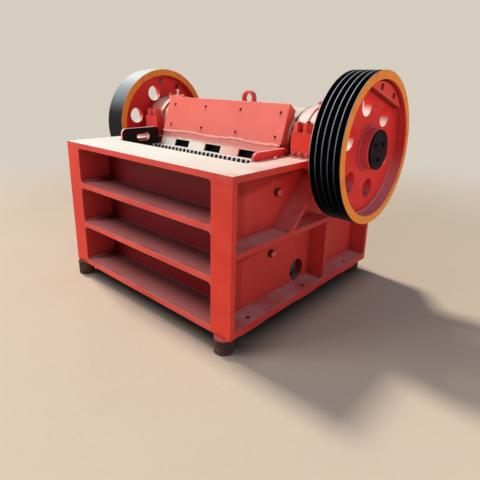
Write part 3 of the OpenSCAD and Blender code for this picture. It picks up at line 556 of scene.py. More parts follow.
def wheel_paint(name, grooved):
    """Black rim, orange end rings and red web; where it is grooved, the rim's lands are pale from wear and a
    painted highlight, and the plain rim has a painted highlight on its upper side.
    """
    t = Tree(name)
    x, _, z = t.spot()
    up = t.up()
    radius = t.from_line(AXIS_Y, AXIS_Z)
    end_ring = (x.size() - (WHEEL_X + WHEEL_W / 2)).size().step(WHEEL_W / 2 - 2.5, WHEEL_W / 2 - 1.2)
    deep = srgb(204, 42, 42) if grooved else srgb(228, 50, 52)
    web, _, mottle, soft = weather(t, srgb(246, 62, 56), deep, RED_PALE, MAUVE, 0.3, 0.3)
    web = t.mix(radius.step(150, 118) * 0.5, web, srgb(196, 96, 108))
    inner_rim = radius.step(RIM_R - 23.5, RIM_R - 3.5)
    web = t.mix(inner_rim * 0.5, web, srgb(176, 58, 62))
    web = t.mix(inner_rim * up.step(0.0, 0.8) * 0.7, web, DUST)
    # Dust lies in the lightening holes, with a painted highlight: palest in the upper ones
    holes = (up - t.split("Normal")[1] * 0.5).step(0.35, 1.0) * radius.within(190, 340, 20)
    high = z.step(825, 945)
    web = t.mix(holes * (0.45 + 0.45 * high), web, t.mix(high, srgb(196, 140, 146), CREAM))
    orange = t.mix(t.noise(7.0, 4.0, 0.6).step(0.5, 0.7) * 0.6, ORANGE, srgb(240, 88, 52))
    orange = t.mix(t.noise(40.0, 5.0, 0.7).step(0.64, 0.72) * 0.3, orange, EARTH)
    if grooved:
        # Painted highlight on the lands: palest on top, fading downwards, whiter along the far edge
        land = radius.step(WHEEL_R - 1.1, WHEEL_R - 0.3) * up.step(-0.5, 0.8)
        far = x.size().step(WHEEL_X + 14, WHEEL_X + 9)
        wear_and_highlight = t.mix(far * 0.8, srgb(184, 192, 200), CREAM)
        rim = t.mix(land * (0.8 + 0.2 * far), srgb(5, 8, 14), wear_and_highlight)
    else:
        # Painted highlight: the plain rim greys and then whitens towards its upper side
        rim = t.mix(up.step(0.18, 0.74) * 0.9, srgb(8, 9, 11), srgb(164, 174, 174))
        rim = t.mix(up.step(0.62, 0.97), rim, srgb(236, 238, 232))
    scuffs = t.noise(90.0, 4.0, 0.6, (1.0, 0.15, 0.15)).step(0.55, 0.8)
    rim = t.mix(scuffs * 0.1, rim, srgb(60, 64, 70))
    outer = radius.step(RIM_R, RIM_R + 3.5)
    colour = t.mix(outer, web, t.mix(end_ring, rim, orange))
    rough = 0.42 + 0.2 * mottle - 0.12 * outer * (1 - end_ring)
    return t.end(t.surface(colour, rough, t.bump(mottle, 0.2, 0.001, soft), specular=0.1))


def cheek_steel(name):
    """Dark rolled plate whose cut edges are pale, whiter where they face up, a painted highlight."""
    t = Tree(name)
    scale = t.noise(22.0, 6.0, 0.6)
    colour = t.mix(scale.step(0.35, 0.7) * 0.6, srgb(20, 17, 18), srgb(36, 28, 28))
    # Pale cut edges; the whiter ones facing up are a painted highlight
    cut = t.mix(t.up().step(0.2, 0.9), srgb(248, 150, 136), srgb(248, 226, 216))
    colour = t.mix(t.aside().step(0.75, 0.45), colour, cut)
    normal = t.bump(scale, 0.25, 0.001, t.edge(0.003)[0])
    return t.end(t.surface(colour, 0.45 + 0.2 * scale, normal, specular=0.15))


def stub_steel(name):
    """Rusty bar stock with the frame's paint run over its top."""
    t = Tree(name)
    x, _, z = t.spot()
    rust = t.noise(14.0, 6.0, 0.65)
    colour = t.mix(rust.step(0.4, 0.7), srgb(58, 44, 40), srgb(104, 72, 58))
    over = (z + t.noise(20.0, 4.0) * 16).step(-4, 3) * x.step(-200, 400)
    colour = t.mix(over * 0.8, colour, srgb(206, 104, 92))
    normal = t.bump(rust, 0.4, 0.0015, t.edge(0.003)[0])
    return t.end(t.surface(colour, 0.65 + 0.2 * rust, normal, specular=0.15))


PAINTS = {
    "frame": dict(base=BOX_RED, bay=0.95, shine=0.12),
    "post": dict(base=BOX_RED, cream=inner_side, cover_colour=bay_red, black=side_shade, bay=0.95, shine=0.12),
    "side": dict(base=srgb(216, 68, 60), deep=srgb(180, 48, 46), dust=DUST, dusty=1.0, black=side_shade,
                 bay=0.95, shine=0.1),
    # The shelves' pale dust near their front edges also stands for the light there: a painted highlight
    "shelf": dict(base=srgb(236, 88, 74), pale=srgb(244, 168, 156), dust=srgb(255, 174, 160), dusty=0.9,
                  wear_and_highlight=0.9, bay=0.95, shine=0.12),
    "deck": dict(dusty=0.2, cream=on_deck, cover_colour=deck_dust_and_highlight, bay=0.9),
    "housing": dict(base=srgb(255, 66, 46), dusty=0.2, cream=on_barrel, cover_colour=pink_dust_and_highlight, black=joint_shadow,
                    shine=0.15),
    "left_housing": dict(base=srgb(240, 62, 52), dust=DUST, dusty=0.9, cream=on_left_housing,
                         cover_colour=warm_dust_and_highlight, black=joint_shadow),
    # The jaw's head takes the housings' pale dust and painted highlight, and painted shade in its pockets
    "jaw_body": dict(cream=on_barrel, black=pocket_shade, shine=0.15),
    "guard": dict(base=CORAL, deep=srgb(232, 92, 76), pale=srgb(250, 166, 148), dusty=0.3, wear_and_highlight=0.6,
                  black=bolt_shadows),
    "apron": dict(base=srgb(255, 148, 130), deep=srgb(255, 128, 110), pale=CREAM, dust=CREAM, dusty=0.9,
                  wear_and_highlight=0.7, cream=on_lips, cover_colour=lip_powder, corner_shade=0.15),
    # The eye's pale pink on what faces up is dust with a painted highlight
    "eye": dict(base=srgb(250, 92, 82), deep=srgb(206, 46, 42), dust=srgb(255, 186, 176), dusty=0.9, wear_and_highlight=0.5),
    "right_cheek": dict(base=srgb(244, 58, 52), pale=CREAM, dust=srgb(250, 206, 194), dusty=1.0, wear_and_highlight=1.0),
    "weld": dict(base=srgb(206, 68, 60), dust=DUST, dusty=0.8, wear_and_highlight=0.3, gloss=0.34, shine=0.2),
    "pale_weld": dict(base=srgb(255, 178, 158), deep=CORAL, pale=CREAM, wear_and_highlight=0.9, gloss=0.3),
    "bolt": dict(base=srgb(238, 60, 48), dusty=0.3, wear_and_highlight=0.8, gloss=0.34),
    "bolt_end": dict(base=srgb(216, 88, 80), pale=CREAM, wear_and_highlight=0.8, gloss=0.34),
    "pale_bolt": dict(base=srgb(254, 92, 78), pale=srgb(255, 176, 164), dust=CREAM, dusty=0.5, wear_and_highlight=0.8),
    "weight": dict(base=srgb(240, 68, 56), deep=srgb(206, 50, 44), dusty=0.3, black=underside_shade, shine=0.2),
}
# Name, colour, stain, then roughness, metal and shine
METALS = {
    "steel": ("machined_steel", srgb(190, 190, 188), srgb(120, 112, 104)),
    "dark_steel": ("oiled_steel", srgb(92, 84, 82), srgb(34, 28, 28), 0.35, 0.7),
    "dark_bolt": ("dark_bolt_steel", srgb(96, 34, 32), srgb(48, 20, 20), 0.5, 0.1, 0.2),
    "iron": ("cast_iron", srgb(150, 148, 146), srgb(70, 62, 58), 0.5, 0.5),
    "black": ("black_paint", srgb(26, 14, 16), srgb(15, 9, 10), 0.65, 0.0, 0.08),
    "brass": ("grease_fitting", srgb(250, 214, 202), srgb(240, 122, 108), 0.35, 0.1),
}
MATERIALS = {}
FINISH = {
    "deck_plate": "deck", "fixed_jaw_plate": "fixed_teeth", "swing_jaw_plate": "swing_teeth",
    "cheek_plate_left": "cheek", "cheek_plate_right": "right_cheek", "bearing_housing_left": "left_housing",
    "upper_shelf": "shelf", "lower_shelf": "shelf", "bottom_plate": "shelf",
    "sheave": "sheave", "flywheel": "flywheel", "sheave_end_disc": "black", "flywheel_end_disc": "black",
    "sheave_weight": "weight", "flywheel_weight": "weight", "swing_jaw": "jaw_body", "guard_plate": "guard",
    "apron": "apron", "lifting_eye": "eye", "eccentric_shaft": "steel", "toggle_plate": "iron",
    "toggle_block": "iron",
}
FINISH_BY_START = {
    "stub_": "stub", "corner_post": "post", "tension_rod": "steel", "tension_spring": "black", "side_": "side",
    "base_flange": "side", "rear_flange": "side", "bearing_housing": "housing",
}


def make_materials():
    for name, given in PAINTS.items():
        MATERIALS[name] = paint(name + "_paint", **given)
    for name, given in METALS.items():
        MATERIALS[name] = bare_steel(*given)
    MATERIALS["swing_teeth"] = jaw_steel("swing_jaw_steel", swing_crest)
    MATERIALS["fixed_teeth"] = jaw_steel("fixed_jaw_steel", fixed_crest)
    MATERIALS["cheek"] = cheek_steel("cheek_steel")
    MATERIALS["sheave"] = wheel_paint("sheave_paint", True)
    MATERIALS["flywheel"] = wheel_paint("flywheel_paint", False)
    MATERIALS["stub"] = stub_steel("stub_paint")


def dress_nodes():
    for name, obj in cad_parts.items():
        by_start = (kind for start, kind in FINISH_BY_START.items() if name.startswith(start))
        kind = FINISH.get(name) or next(by_start, "frame")
        obj.data.materials.clear()
        obj.data.materials.append(MATERIALS[kind])


# Building pieces


def put(name, data):
    """Adds an object to the scene."""
    obj = bpy.data.objects.new(name, data)
    bpy.context.collection.objects.link(obj)
    return obj


class Piece:
    """One mesh under construction, in metres of the shared frame."""

    def __init__(self):
        self.bm = bmesh.new()

    def rings(self, rows, closed=False):
        """Skins rows of points; a row of one point closes to a tip."""
        made = [[self.bm.verts.new(p) for p in row] for row in rows]
        pairs = list(zip(made, made[1:])) + ([(made[-1], made[0])] if closed else [])
        for a, b in pairs:
            n = max(len(a), len(b))
            for i in range(n):
                j = (i + 1) % n
                corners = [a[i % len(a)], a[j % len(a)], b[j % len(b)], b[i % len(b)]]
                face = list(dict.fromkeys(corners))
                if len(face) > 2:
                    self.bm.faces.new(face)

    def turned(self, foot, axis, profile, sides=24, turn=0.0):
        """A body turned about an axis through its foot; profile lists radius and height in millimetres."""
        spin = Vector(axis).to_track_quat("Z", "Y").to_matrix()
        rows = []
        for radius, height in profile:
            angles = [turn + a for a in whole_turn(sides if radius > 0 else 1)]
            rows.append([foot + spin @ Vector((radius * math.cos(a), radius * math.sin(a), height)) / 1000
                         for a in angles])
        self.rings(rows)

    def bolt(self, foot, axis, across, high, turn, washer=False):
        """A hexagon head or nut with a chamfered top, on a washer where it has one."""
        base = 0.0
        if washer:
            base = across * 0.1
            self.turned(foot, axis, [(0, -1), (across * 0.78, -1), (across * 0.78, base), (0, base)])
        corner = across / math.sqrt(3)
        self.turned(foot, axis, [(0, base - 1), (corner, base - 1), (corner, base + high * 0.84),
                                 (corner * 0.86, base + high), (0, base + high)], 6, turn)

    def bead(self, points, radius, seed, ripple=7.0, sides=7, loop=False):
        """A weld bead along a line: overlapping ripples of a slightly uneven width."""
        dice = random.Random(seed)
        spots = []
        for a, b in zip(points, points[1:] + points[:1] if loop else points[1:]):
            n = max(1, round((b - a).length * 1000 / ripple * 2))
            spots += [a.lerp(b, i / n) for i in range(n)]
        if not loop:
            spots.append(points[-1])
        rows = []
        count = len(spots)
        for i, spot in enumerate(spots):
            ahead = spots[(i + 1) % count] if loop or i + 1 < count else spot
            behind = spots[i - 1] if loop or i else spot
            along = (ahead - behind).normalized()
            side = along.cross(UP) if abs(along.z) < 0.9 else along.cross((1, 0, 0))
            side.normalize()
            rise = side.cross(along)
            r = radius / 1000 * (0.8 + 0.24 * (i % 2)) * dice.uniform(0.9, 1.1)
            if not loop and i in (0, count - 1):
                r *= 0.4
            rows.append([spot + (side * math.cos(a) + rise * math.sin(a)) * r for a in whole_turn(sides)])
        self.rings(rows, loop)

    def done(self, name, body, slot, material, sharp=SHARP):
        """Makes the mesh a piece that rides a body."""
        bmesh.ops.recalc_face_normals(self.bm, faces=self.bm.faces)
        mesh = bpy.data.meshes.new(name)
        self.bm.to_mesh(mesh)
        self.bm.free()
        mesh.polygons.foreach_set("use_smooth", [True] * len(mesh.polygons))
        mesh.set_sharp_from_angle(angle=math.radians(sharp))
        mesh.materials.append(MATERIALS[material])
        obj = put(name, mesh)
        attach(obj, body)


def side_weld_lines():
    """The weld lines of one side frame: those along the side plate, then those that run out from it."""
    rib_low, rib_high = MID_RIB
    front, back = UPRIGHT
    brace_front, brace_back = BRACE_Y
    brace_run = DECK_UNDER - rib_high
    saddle = math.sqrt(BARREL_R ** 2 - (AXIS_Z - DECK_UNDER) ** 2) + 6
    rib_end = HALF - 3
    corner = 14
    on_plate = (
        (POST_T, BASE_TOP, front, BASE_TOP),
        (back, BASE_TOP, REAR_Y, BASE_TOP),
        (POST_T, rib_low, front, rib_low),
        (POST_T, rib_high, brace_front, rib_high),
        (brace_back, rib_high, back - corner, rib_high),
        (brace_front, rib_high, brace_front + brace_run * 0.62, rib_high + brace_run * 0.62),
        (brace_back, rib_high, brace_back + brace_run * 0.5, rib_high + brace_run * 0.5),
        (front, BASE_TOP, front, rib_low),
        (back, BASE_TOP, back, rib_high - corner),
        (POST_T, BASE_TOP, POST_T, DECK_UNDER),
        (POST_T, DECK_UNDER, AXIS_Y - saddle, DECK_UNDER),
        (AXIS_Y + saddle, DECK_UNDER, AXIS_Y + 306, DECK_UNDER),
        (REAR_Y, BASE_TOP, REAR_Y, 530),
    )
    outwards = (
        (POST_T, BASE_TOP, HALF), (REAR_Y, BASE_TOP, HALF), (front, BASE_TOP, rib_end),
        (back, BASE_TOP, rib_end), (front, rib_low, rib_end), (POST_T, rib_low, rib_end),
        (POST_T, rib_high, rib_end), (POST_T, DECK_UNDER, HALF), (brace_front, rib_high, rib_end),
        (brace_back, rib_high, rib_end),
    )
    return ([((SIDE, y, z), (SIDE, to_y, to_z)) for y, z, to_y, to_z in on_plate]
            + [((SIDE, y, z), (end, y, z)) for y, z, end in outwards])


# Settings


class StageSettings(bpy.types.PropertyGroup):
    floor_colour: bpy.props.FloatVectorProperty(
        name="Floor colour", description="Colour of the pale floor", subtype="COLOR", size=3, min=0, max=1,
        default=srgb(222, 202, 178))
    sun_strength: bpy.props.FloatProperty(
        name="Sun", description="Strength of the soft light from the left", default=2.4, min=0)
    fill_power: bpy.props.FloatProperty(
        name="Fill", description="Power of the soft lamp in front", unit="POWER", default=310.0, min=0)
    sky_strength: bpy.props.FloatProperty(
        name="Sky", description="Strength of the even light from all round", default=0.17, min=0)


class WeldSettings(bpy.types.PropertyGroup):
    radius: bpy.props.FloatProperty(
        name="Weld size", description="Half width of the frame's weld beads", unit="LENGTH",
        default=0.007, min=0.002, max=0.014)
    ripple: bpy.props.FloatProperty(
        name="Ripple", description="Length of one ripple of the frame's weld beads", unit="LENGTH",
        default=0.008, min=0.004, max=0.02)


class BoltSettings(bpy.types.PropertyGroup):
    cap_nut: bpy.props.FloatProperty(
        name="Cap nuts", description="Width across the flats of the housing nuts", unit="LENGTH",
        default=0.053, min=0.0525, max=0.06)
    cheek_bolt: bpy.props.FloatProperty(
        name="Cheek bolts", description="Width across the flats of the cheek bolts", unit="LENGTH",
        default=0.044, min=0.04, max=0.07)
    guard_bolt: bpy.props.FloatProperty(
        name="Guard bolts", description="Width across the flats of the guard bolts", unit="LENGTH",
        default=0.013, min=0.01, max=0.03)


# Stage


def lamp(name, kind, spot, aim_z, power, tint, **settings):
    """A lamp that points at a height over the middle of the floor."""
    data = bpy.data.lights.new(name, kind)
    data.energy = power
    data.color = tint
    for key, value in settings.items():
        setattr(data, key, value)
    obj = put(name, data)
    obj.location = spot
    obj.rotation_euler = (Vector((0, 0, aim_z)) - Vector(spot)).to_track_quat("-Z", "Y").to_euler()


def sky(strength):
    """A world of even light, which the camera and mirrors see as a plain pale backdrop."""
    t = Tree("studio", "worlds")
    light = t.node("ShaderNodeBackground", None, {"Color": (0.72, 0.90, 1.18, 1.0), "Strength": strength})
    back = t.node("ShaderNodeBackground", None, {"Color": (*BACKDROP, 1.0)})
    return t.end(t.node("ShaderNodeMixShader", None, {0: t.seen(), 1: light, 2: back}))


def floor_material(pale):
    """Pale powdery floor, with a painted shadow under the machine and beside its right side, lost in the
    backdrop far away.
    """
    t = Tree("floor")
    pits = t.noise(26.0, 6.0, 0.7)
    colour = t.mix(t.noise(0.9, 6.0, 0.6).step(0.35, 0.7) * 0.22, pale, tuple(0.84 * c for c in pale))
    colour = t.mix(pits.step(0.5, 0.72) * 0.16, colour, tuple(0.72 * c for c in pale))
    x, y = t.split("Object")[:2]
    away = (x * x + y * y).root()
    colour = t.mix(away.step(2.2, 9.0), colour, srgb(245, 233, 218))
    # Painted shadow on the floor under the machine and beside its right side
    under = x.step(0.97, 0.66) * x.step(-0.78, -0.62) * (y + 0.05).size().step(0.84, 0.70)
    colour = t.mix(under * 0.96, colour, srgb(18, 18, 20))
    lit = t.surface(colour, 0.85, t.bump(pits, 0.2, 0.002), specular=0.08)
    plain = t.node("ShaderNodeEmission", None, {"Color": (*BACKDROP, 1.0)})
    far = away.step(2.6, 6.5) * t.seen()
    return t.end(t.node("ShaderNodeMixShader", None, {0: far, 1: lit, 2: plain}))


def place_camera(scene):
    yaw, pitch, roll = (math.radians(a) for a in CAMERA_TURN)
    ahead = Vector((-math.sin(yaw) * math.cos(pitch), math.cos(yaw) * math.cos(pitch), -math.sin(pitch)))
    level = Vector((math.cos(yaw), math.sin(yaw), 0))
    rise = level.cross(ahead)
    right = level * math.cos(roll) + rise * math.sin(roll)
    top = rise * math.cos(roll) - level * math.sin(roll)
    data = bpy.data.cameras.new("camera")
    data.lens = CAMERA_LENS
    data.sensor_width = 36.0
    data.shift_x, data.shift_y = CAMERA_SHIFT
    data.clip_end = 200.0
    scene.camera = put("camera", data)
    turn = Matrix((right, top, -ahead)).transposed().to_4x4()
    scene.camera.matrix_world = Matrix.Translation(at(*CAMERA_AT)) @ turn


# Operators


class CRUSHER_OT_stage(bpy.types.Operator):
    """Makes the floor, the soft lamps and the camera."""
    bl_idname = "crusher.stage"
    bl_label = "Stage"

    def execute(self, context):
        settings = context.scene.crusher_stage
        bm = bmesh.new()
        bmesh.ops.create_grid(bm, x_segments=2, y_segments=2, size=60.0)
        mesh = bpy.data.meshes.new("floor")
        bm.to_mesh(mesh)
        bm.free()
        mesh.materials.append(floor_material(tuple(settings.floor_colour)))
        floor = put("floor", mesh)

        context.scene.world = sky(settings.sky_strength)
        fill = settings.fill_power
        lamp("sun", "SUN", (-6.0, 0.4, 8.4), 0.4, settings.sun_strength, (1.0, 0.96, 0.90), angle=0.16)
        lamp("fill", "AREA", (-4.0, -6.4, 3.0), 0.6, fill, (0.97, 0.98, 1.05), size=4.0)
        lamp("side", "AREA", (5.4, -1.2, 1.7), 1.0, fill * 0.3, (0.90, 0.97, 1.08), size=5.0)
        place_camera(context.scene)
        context.scene.view_settings.view_transform = "Standard"
        return {"FINISHED"}


class CRUSHER_OT_finishes(bpy.types.Operator):
    """Makes the paints and metals and puts them on the machine's own nodes."""
    bl_idname = "crusher.finishes"
    bl_label = "Finishes"

    def execute(self, context):
        make_materials()
        dress_nodes()
        return {"FINISHED"}


class CRUSHER_OT_frame_welds(bpy.types.Operator):
    """Lays the weld beads of the side frames, the front box and the support stubs."""
    bl_idname = "crusher.frame_welds"
    bl_label = "Frame welds"

    def execute(self, context):
        settings = context.scene.crusher_welds
        radius, ripple = mm(settings.radius), mm(settings.ripple)
        for side, s in BOTH:
            piece = Piece()
            for seed, line in enumerate(side_weld_lines()):
                piece.bead([at(s * x, y, z) for x, y, z in line], radius, seed, ripple)
            piece.done("side_frame_welds_" + side, "frame", "red_paint", "weld", SHARP_WELD)

            piece = Piece()
            for seed, stub in enumerate((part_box("stub_front_" + side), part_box("stub_rear_" + side))):
                low, high = (Vector(c) for c in stub)
                middle = (low + high) / 2
                reach = (high.x - low.x) / 2 - 0.001
                foot = Vector((middle.x, middle.y, high.z - 0.002))
                ring = [foot + Vector((math.cos(a), math.sin(a), 0)) * reach for a in whole_turn(36)]
                piece.bead(ring, 2.6, seed, 6.0, loop=True)
            piece.done("stub_welds_" + side, "frame", "stub_paint", "stub", SHARP_WELD)

        piece = Piece()
        for i, bay in enumerate(BAYS):
            for z in bay:
                piece.bead([at(-BAY_X + 20, BAY_D, z), at(BAY_X - 20, BAY_D, z)], 6.0, i, 9.0)
            for x in (4 - BAY_X, BAY_X - 4):
                piece.bead([at(x, BAY_D - 3, z) for z in bay], 4.5, i + 9, 9.0)
                for z in bay:
                    piece.bead([at(x, POST_T, z), at(x, BAY_D, z)], 4.0, i + 5, 9.0)
        piece.done("front_box_welds", "frame", "red_paint", "frame", SHARP_WELD)
        return {"FINISHED"}


class CRUSHER_OT_jaw_welds(bpy.types.Operator):
    """Lays the wavy bead under the guard plate, and the welds and rounded feet of the lifting eye."""
    bl_idname = "crusher.jaw_welds"
    bl_label = "Jaw welds"

    def execute(self, context):
        piece = Piece()
        steps = 90
        wavy = []
        for i in range(steps + 1):
            x = -GUARD_X + 2 * GUARD_X * i / steps
            wave = 5.0 * math.cos(i * 0.17 + 2.4) + 2.0 * math.sin(i * 0.9) + 1.2 * math.sin(i * 2.3)
            wavy.append(on_jaw(x, -9.0, GUARD_V[0] - 10.0 + wave))
        piece.bead(wavy, 12.0, 3, 17.0, 9)
        piece.done("guard_weld", "pitman", "red_paint", "pale_weld", SHARP_WELD)

        low, high = (Vector(c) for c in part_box("lifting_eye"))
        middle = (low.y + high.y) / 2
        edge = (high.y - low.y) * 0.3
        piece = Piece()
        for k in (-1, 1):
            y = middle + k * edge
            piece.bead([on_head(low.x, y), on_head(high.x, y)], 6.0, 11 + k, 8.0)
        for x in (low.x, high.x):
            piece.bead([on_head(x, middle + edge * k) for k in (-1, 0, 1)], 5.0, 4, 8.0)
        piece.done("lifting_eye_welds", "pitman", "red_paint", "weld", SHARP_WELD)

        piece = Piece()
        half = (high.y - low.y) / 2
        thick = half * 1000
        collar = [(0, -12), (thick + 13, -12), (thick + 9, 2), (thick + 5, 13), (thick + 1.5, 26),
                  (thick - 2, 34), (0, 34)]
        for x in (low.x + half, high.x - half):
            piece.turned(on_head(x, middle), UP, collar, 28)
        piece.done("lifting_eye_feet", "pitman", "red_paint", "eye", SHARP_WELD)
        return {"FINISHED"}


class CRUSHER_OT_guard_bolts(bpy.types.Operator):
    """Sets the two rows of small bolts in the guard plate, and the greasing block at its upper corner."""
    bl_idname = "crusher.guard_bolts"
    bl_label = "Guard bolts"

    def execute(self, context):
        across = mm(context.scene.crusher_bolts.guard_bolt)
        ahead = on_jaw(0, -1, 0) - on_jaw(0, 0, 0)
        piece = Piece()
        for x in GUARD_BOLTS:
            for v in GUARD_ROWS:
                piece.bolt(on_jaw(x, -8.0, v), ahead, across, across * 0.5, 0.2 * x)
        piece.done("guard_bolts", "pitman", "red_paint", "dark_bolt")

        piece = Piece()
        top = GUARD_V[1]
        foot = [on_jaw(x, u, top - 24) for x, u in ((-534, -7), (-425, -7), (-425, 52), (-534, 52))]
        rise = (on_jaw(0, 0, 1) - on_jaw(0, 0, 0)) * 38
        middle = sum(foot, Vector()) / 4
        lid = [c + rise - (c - middle) * 0.08 for c in foot]
        piece.rings([[foot[0]], foot, [c + rise * 0.8 for c in foot], lid, [lid[0]]])
        piece.done("grease_block", "pitman", "red_paint", "guard")

        piece = Piece()
        fitting = [(0, 0), (14, 0), (14, 8), (9, 10), (9, 16), (7, 18), (7, 36), (9, 38), (9, 44), (5, 48),
                   (0, 48)]
        piece.turned(on_jaw(-499, 14, top + 12), UP, fitting, 16)
        piece.turned(on_jaw(-452, 20, top + 12), UP, [(0, 0), (10, 0), (10, 12), (7, 15), (0, 15)], 6)
        piece.done("grease_pin", "pitman", "red_paint", "brass")
        return {"FINISHED"}


class CRUSHER_OT_cap_nuts(bpy.types.Operator):
    """Puts on the housings' cap nuts, the small bolts along the lugs' feet and those of the covers."""
    bl_idname = "crusher.cap_nuts"
    bl_label = "Housing nuts"

    def execute(self, context):
        across = mm(context.scene.crusher_bolts.cap_nut)
        for side, s in BOTH:
            feet = [(k, at(s * (CAP_BOLT_X + CAP_BOLT_APART * k), y, LUG_TOP))
                    for y in CAP_BOLT_Y for k in (-1, 1)]
            piece = Piece()
            for k, foot in feet:
                piece.bolt(foot, UP, across, 54.0, 0.25 + 0.4 * k)
                piece.turned(foot, UP, [(33, -1), (33, 3.5), (30, 4)], 24)
            piece.done("housing_nuts_" + side, "frame", "red_paint", "bolt")
            for row, name, finish, top in ((-1, "housing_bolt_tips_", "bolt", 58),
                                           (1, "housing_bolt_ends_", "dark_bolt", 64)):
                piece = Piece()
                for k, foot in feet:
                    if k == row:
                        piece.turned(foot, UP, [(13, 52), (13, top - 3), (10, top), (0, top)], 18)
                piece.done(name + side, "frame", "red_paint", finish)

            piece = Piece()
            for i in range(3):
                x = LUG_X[0] + 24 + i * 46
                for line, k in zip(LUG_Y, (-1, 1)):
                    y = line - 6 * k
                    piece.bolt(at(s * x, y, DECK + 24), (0, k, 0), 19.0, 9.0, 0.3 * i, washer=True)
                    foot = at(s * (x + 16), y + k * 14, DECK)
                    piece.turned(foot, UP, [(14, -1), (14, 4), (9, 7), (0, 7)], 14)
            for i, y in enumerate(LUG_Y):
                piece.bead([at(s * x, y, DECK + 1) for x in (LUG_X[0] - 6, LUG_X[1] + 6)], 4.0, i + 40, 7.0)
            piece.done("lug_foot_bolts_" + side, "frame", "red_paint", "pale_bolt")

            piece = Piece()
            ahead = 76
            knob_z = AXIS_Z + math.sqrt(BARREL_R ** 2 - ahead ** 2) + 37
            knob = at(s * (BARREL_X[0] + 15), AXIS_Y - ahead, knob_z)
            piece.turned(knob, UP, [(15.4, -12), (15.4, -2), (13, 2), (8, 5), (0, 6)], 20)
            for i in range(8):
                turn = math.tau * (i + 0.5) / 8
                foot = round_axis(s * (BARREL_X[1] + 10), COVER_BOLTS_R, turn)
                piece.bolt(foot, (s, 0, 0), 20.0, 12.0, turn, washer=True)
            piece.done("housing_cover_bolts_" + side, "frame", "red_paint", "bolt")
        return {"FINISHED"}


class CRUSHER_OT_cheek_bolts(bpy.types.Operator):
    """Sets the nuts and bolt ends that hold the cheek plates from outside."""
    bl_idname = "crusher.cheek_bolts"
    bl_label = "Cheek bolts"

    def execute(self, context):
        across = mm(context.scene.crusher_bolts.cheek_bolt)
        high = across * 0.4
        for side, s in BOTH:
            nuts, ends = Piece(), Piece()
            for y, z in CHEEK_BOLTS:
                nuts.bolt(at(s * SIDE, y, z), (s, 0, 0), across, high, 0.2 + z)
                ends.turned(at(s * (SIDE + high), y, z), (s, 0, 0), [(18, -4), (18, 12), (14, 16), (0, 16)])
            nuts.done("cheek_nuts_" + side, "frame", "red_paint", "dark_bolt")
            ends.done("cheek_bolt_ends_" + side, "frame", "red_paint", "bolt_end")
        return {"FINISHED"}


class CRUSHER_OT_wheel_bolts(bpy.types.Operator):
    """Fills the counterweights' bolt holes and the end discs with their bolts."""
    bl_idname = "crusher.wheel_bolts"
    bl_label = "Wheel bolts"

    def execute(self, context):
        for side, s in BOTH:
            out = (s, 0, 0)
            plugs, bolts, disc = Piece(), Piece(), Piece()
            for k in (-1, 1):
                turn = WEIGHT_TURN + k * WEIGHT_SPREAD
                plugs.turned(round_axis(s * (WEIGHT_FACE - 24), WEIGHT_R, turn), out,
                             [(0, 0), (19.8, 0), (19.8, 6), (16, 8), (7, 8), (6, 6), (0, 6)])
                inner = round_axis(s * (WEB_X + 18), WEIGHT_R, turn)
                bolts.bolt(inner, (-s, 0, 0), 30.0, 12.0, 0.3 * k)
                bolts.turned(inner, (-s, 0, 0), [(0, -2), (19.8, -2), (19.8, 2), (0, 2)])
            for i in range(3):
                turn = math.radians(120 * i + 30)
                foot = round_axis(s * (DISC_FACE - 5), DISC_BOLTS_R, turn)
                disc.bolt(foot, out, 22.0, 14.0, turn, washer=True)
            centre = [(0, -1), (12, -1), (12, 2), (5, 3), (4, 0), (0, -1)]
            disc.turned(round_axis(s * DISC_FACE, 0, 0), out, centre, 16)
            plugs.done("counterweight_plugs_" + side, "rotor", "disc_paint", "bolt")
            bolts.done("counterweight_bolts_" + side, "rotor", "disc_paint", "dark_steel")
            disc.done("end_disc_bolts_" + side, "rotor", "disc_paint", "black")
        return {"FINISHED"}


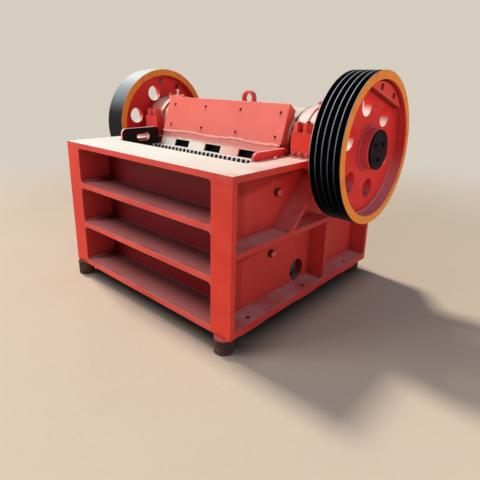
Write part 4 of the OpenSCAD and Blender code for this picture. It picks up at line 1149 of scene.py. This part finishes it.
class CRUSHER_OT_rod_threads(bpy.types.Operator):
    """Cuts the threads that show past the tension rods' nuts, and lays the shims behind the toggle seat."""
    bl_idname = "crusher.rod_threads"
    bl_label = "Threads and shims"

    def execute(self, context):
        pitch, turns, steps = 0.0035, 7, 20
        root, crest = 0.0158, 0.0175
        groove = ((root, 0), (crest, pitch * 0.3), (crest, -pitch * 0.1), (root, -pitch * 0.6))
        for side, _ in BOTH:
            low, high = (Vector(c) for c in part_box("tension_rod_" + side))
            axis = (low + high) / 2
            rows = []
            for i in range(turns * steps + 1):
                a = math.tau * i / steps
                out = Vector((math.cos(a), 0, math.sin(a)))
                middle = Vector((axis.x, high.y - 0.001 - pitch * i / steps, axis.z))
                rows.append([middle + out * radius + Vector((0, ahead, 0)) for radius, ahead in groove])
            piece = Piece()
            piece.rings(rows)
            piece.done("rod_thread_" + side, "pitman", "bare_steel", "steel")

        low, high = (Vector(c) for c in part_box("toggle_block"))
        wide, apart, thick = 0.452, 0.0041, 0.0032
        piece = Piece()
        for i in range(5):
            y = high.y - 0.0197 + i * apart
            lift = 0.004 * (i % 2) + 0.001 * i
            bottom, top = low.z + 0.006 - lift, high.z - 0.006 + lift
            outline = ((-wide, bottom), (wide, bottom), (wide, top), (-wide, top))
            near = [Vector((x, y, z)) for x, z in outline]
            far = [c + Vector((0, thick, 0)) for c in near]
            piece.rings([[near[0]], near, far, [far[0]]])
        piece.done("shim_plates", "frame", "toggle_iron", "steel", SHARP_SHIM)
        return {"FINISHED"}


STEPS = (CRUSHER_OT_stage, CRUSHER_OT_finishes, CRUSHER_OT_frame_welds, CRUSHER_OT_jaw_welds,
         CRUSHER_OT_guard_bolts, CRUSHER_OT_cap_nuts, CRUSHER_OT_cheek_bolts, CRUSHER_OT_wheel_bolts,
         CRUSHER_OT_rod_threads)
SETTINGS = {"crusher_stage": StageSettings, "crusher_welds": WeldSettings, "crusher_bolts": BoltSettings}


class CRUSHER_PT_panel(bpy.types.Panel):
    bl_label = "Crusher"
    bl_idname = "CRUSHER_PT_panel"
    bl_space_type = "VIEW_3D"
    bl_region_type = "UI"
    bl_category = "Crusher"

    def draw(self, context):
        for step in STEPS:
            self.layout.operator(step.bl_idname)
        for name, group in SETTINGS.items():
            for key in group.__annotations__:
                self.layout.prop(getattr(context.scene, name), key)


CLASSES = (*SETTINGS.values(), *STEPS, CRUSHER_PT_panel)


def register():
    for cls in CLASSES:
        bpy.utils.register_class(cls)
    for name, group in SETTINGS.items():
        setattr(bpy.types.Scene, name, bpy.props.PointerProperty(type=group))


def unregister():
    for name in SETTINGS:
        delattr(bpy.types.Scene, name)
    for cls in reversed(CLASSES):
        bpy.utils.unregister_class(cls)


def main():
    register()
    for step in STEPS:
        group, name = step.bl_idname.split(".")
        getattr(getattr(bpy.ops, group), name)()


if __name__ == "__main__":
    main()
